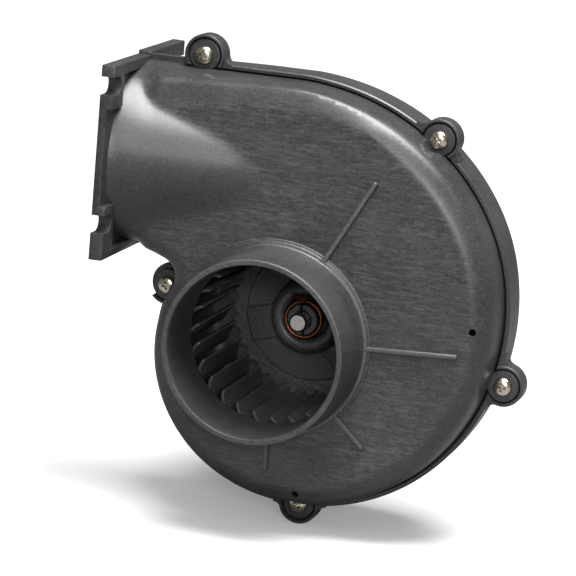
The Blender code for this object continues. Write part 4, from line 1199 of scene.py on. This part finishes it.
def build_stage():
    scene = bpy.context.scene
    data = bpy.data.cameras.new("Camera")
    data.lens = CAMERA_LENS
    data.sensor_width = 36
    camera = bpy.data.objects.new("Camera", data)
    camera.location = CAMERA_AT
    camera.rotation_euler = Euler([radians(a) for a in CAMERA_TURN])
    scene.collection.objects.link(camera)
    scene.camera = camera

    low = CAD_BOX[0][2]
    bm = bmesh.new()
    bmesh.ops.create_grid(bm, x_segments=2, y_segments=2, size=6.0)
    bmesh.ops.translate(bm, verts=bm.verts, vec=(0, 0, low - 0.5 * MM))
    floor = mesh_object("pale_floor", bm)
    mat, t, into, place = new_material("Pale Floor", 0.0, 0.9)
    shade = t.noise(place, 3.0, 2.0)
    color = finish().floor
    # Painted light: camera rays see the floor glow white, more strongly away from the object, and other rays see a
    # darker floor.
    seen = t.add("ShaderNodeLightPath").outputs["Is Camera Ray"]
    paper = t.mix(t.between(shade, 0.3, 0.7), rgba(color, 0.99), rgba(color, 1.0))
    t.link(t.mix(seen, rgba(color, 0.35), paper), into["Base Color"])
    away = t.add("ShaderNodeVectorMath", operation="LENGTH")
    t.link(place, away.inputs[0])
    painted_glow = t.between(away.outputs["Value"], 0.2, 1.6, 0.22, 0.85)
    t.link(t.math("MULTIPLY", seen, painted_glow), into["Emission Strength"])
    into["Emission Color"].default_value = (1, 1, 1, 1)
    floor.data.materials.append(mat)

    scene.world = soft_world()
    scene.view_settings.view_transform = "Standard"
    for light in LIGHTS:
        add_light(*light, aim=(0.08, 0, -0.05))


def soft_world():
    """White behind the object, and a softer grey all round for its light."""
    world = bpy.data.worlds.new("Soft White")
    world.use_nodes = True
    t = Tree(world.node_tree)
    seen = t.add("ShaderNodeLightPath").outputs["Is Camera Ray"]
    background = world.node_tree.nodes["Background"]
    t.link(t.between(seen, 0.0, 1.0, 0.2, 1.0), background.inputs["Strength"])
    background.inputs["Color"].default_value = (1, 1, 1, 1)
    return world


# ---- operators


class BLOWER_OT_cover(bpy.types.Operator):
    """Build the front cover with its inlet collar, cone, ribs and half of the flange"""

    bl_idname = "blower.cover"
    bl_label = "Front Cover"

    def execute(self, context):
        dress(build_cover(), HOUSING, "housing_plastic", "front_housing")
        return {"FINISHED"}


class BLOWER_OT_rear(bpy.types.Operator):
    """Build the rear shell with its rim, ears and half of the flange"""

    bl_idname = "blower.rear"
    bl_label = "Rear Shell"

    def execute(self, context):
        dress(build_rear(), HOUSING, "housing_plastic", "rear_housing")
        return {"FINISHED"}


class BLOWER_OT_screws(bpy.types.Operator):
    """Build the cross-recessed screws in the housing's ears"""

    bl_idname = "blower.screws"
    bl_label = "Housing Screws"

    def execute(self, context):
        for i, (x, z) in enumerate(ear_places()):
            low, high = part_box(f"housing_screw_{i + 1}")
            seat = -5 * MM - GAP
            screw = phillips_screw(f"ear_screw_{i + 1}", x, z, seat, (high[0] - low[0]) / 2, seat - low[1], 1.9 * MM,
                                   high[1], 20 + 37 * i)
            dress(screw, HOUSING, "nickel_plate", f"housing_screw_{i + 1}", second="recess_grime")
        return {"FINISHED"}


class BLOWER_OT_wheel(bpy.types.Operator):
    """Build the bladed wheel, its spring clamp and the shaft"""

    bl_idname = "blower.wheel"
    bl_label = "Wheel and Shaft"

    def execute(self, context):
        dress(build_wheel(), ROTOR, "wheel_plastic", "blower_wheel")
        dress(build_clamp(), ROTOR, "clamp_wire", "hub_clamp")
        dress(build_shaft(), ROTOR, "bright_steel", "motor_shaft")
        return {"FINISHED"}


class BLOWER_OT_motor(bpy.types.Operator):
    """Build the motor's outside: bell, can, cap, through bolts and grommet"""

    bl_idname = "blower.motor"
    bl_label = "Motor"

    def execute(self, context):
        dress(build_can(), HOUSING, "black_paint", "motor_can")
        dress(build_bell(), HOUSING, "cast_aluminium", "motor_front_bell")
        dress(build_cap(), HOUSING, "black_paint", "motor_rear_cap")
        for i, (x, z) in enumerate(places_round(26 * MM, THROUGH_BOLTS)):
            dress(build_bolt(i + 1, x, z), HOUSING, "bolt_steel", f"through_bolt_{i + 1}")
        dress(build_grommet(), HOUSING, "black_rubber", "lead_grommet")
        return {"FINISHED"}


class BLOWER_OT_inner_finishes(bpy.types.Operator):
    """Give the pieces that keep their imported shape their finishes"""

    bl_idname = "blower.inner_finishes"
    bl_label = "Inner Finishes"

    def execute(self, context):
        slots = {entry["node"]: entry["material_slot"] for entry in frame["record"]["subparts"]}
        shown = {name for name, obj in frame["nodes"].items() if not obj.hide_render}
        for node in sorted(shown):
            repaint(node, slots[node])
        return {"FINISHED"}


class BLOWER_OT_stage(bpy.types.Operator):
    """Add the floor, the lights and the camera"""

    bl_idname = "blower.stage"
    bl_label = "Stage"

    def execute(self, context):
        build_stage()
        return {"FINISHED"}


class BLOWER_PT_panel(bpy.types.Panel):
    """Lists the blower's pieces and settings"""

    bl_idname = "BLOWER_PT_panel"
    bl_label = "Ventilation Blower"
    bl_space_type = "VIEW_3D"
    bl_region_type = "UI"
    bl_category = "Blower"

    def draw(self, context):
        for operator in OPERATORS:
            self.layout.operator(operator.bl_idname)
        for group in (context.scene.blower_shape, context.scene.blower_finish):
            box = self.layout.box()
            for name in group.__annotations__:
                box.prop(group, name)


OPERATORS = (BLOWER_OT_stage, BLOWER_OT_cover, BLOWER_OT_rear, BLOWER_OT_screws, BLOWER_OT_wheel, BLOWER_OT_motor,
             BLOWER_OT_inner_finishes)
CLASSES = (BlowerShape, BlowerFinish) + OPERATORS + (BLOWER_PT_panel,)


def register():
    for cls in CLASSES:
        bpy.utils.register_class(cls)
    bpy.types.Scene.blower_shape = PointerProperty(type=BlowerShape)
    bpy.types.Scene.blower_finish = PointerProperty(type=BlowerFinish)


def unregister():
    del bpy.types.Scene.blower_finish
    del bpy.types.Scene.blower_shape
    for cls in reversed(CLASSES):
        bpy.utils.unregister_class(cls)


def main():
    register()
    bpy.ops.blower.stage()
    bpy.ops.blower.cover()
    bpy.ops.blower.rear()
    bpy.ops.blower.screws()
    bpy.ops.blower.wheel()
    bpy.ops.blower.motor()
    bpy.ops.blower.inner_finishes()


if __name__ == "__main__":
    main()
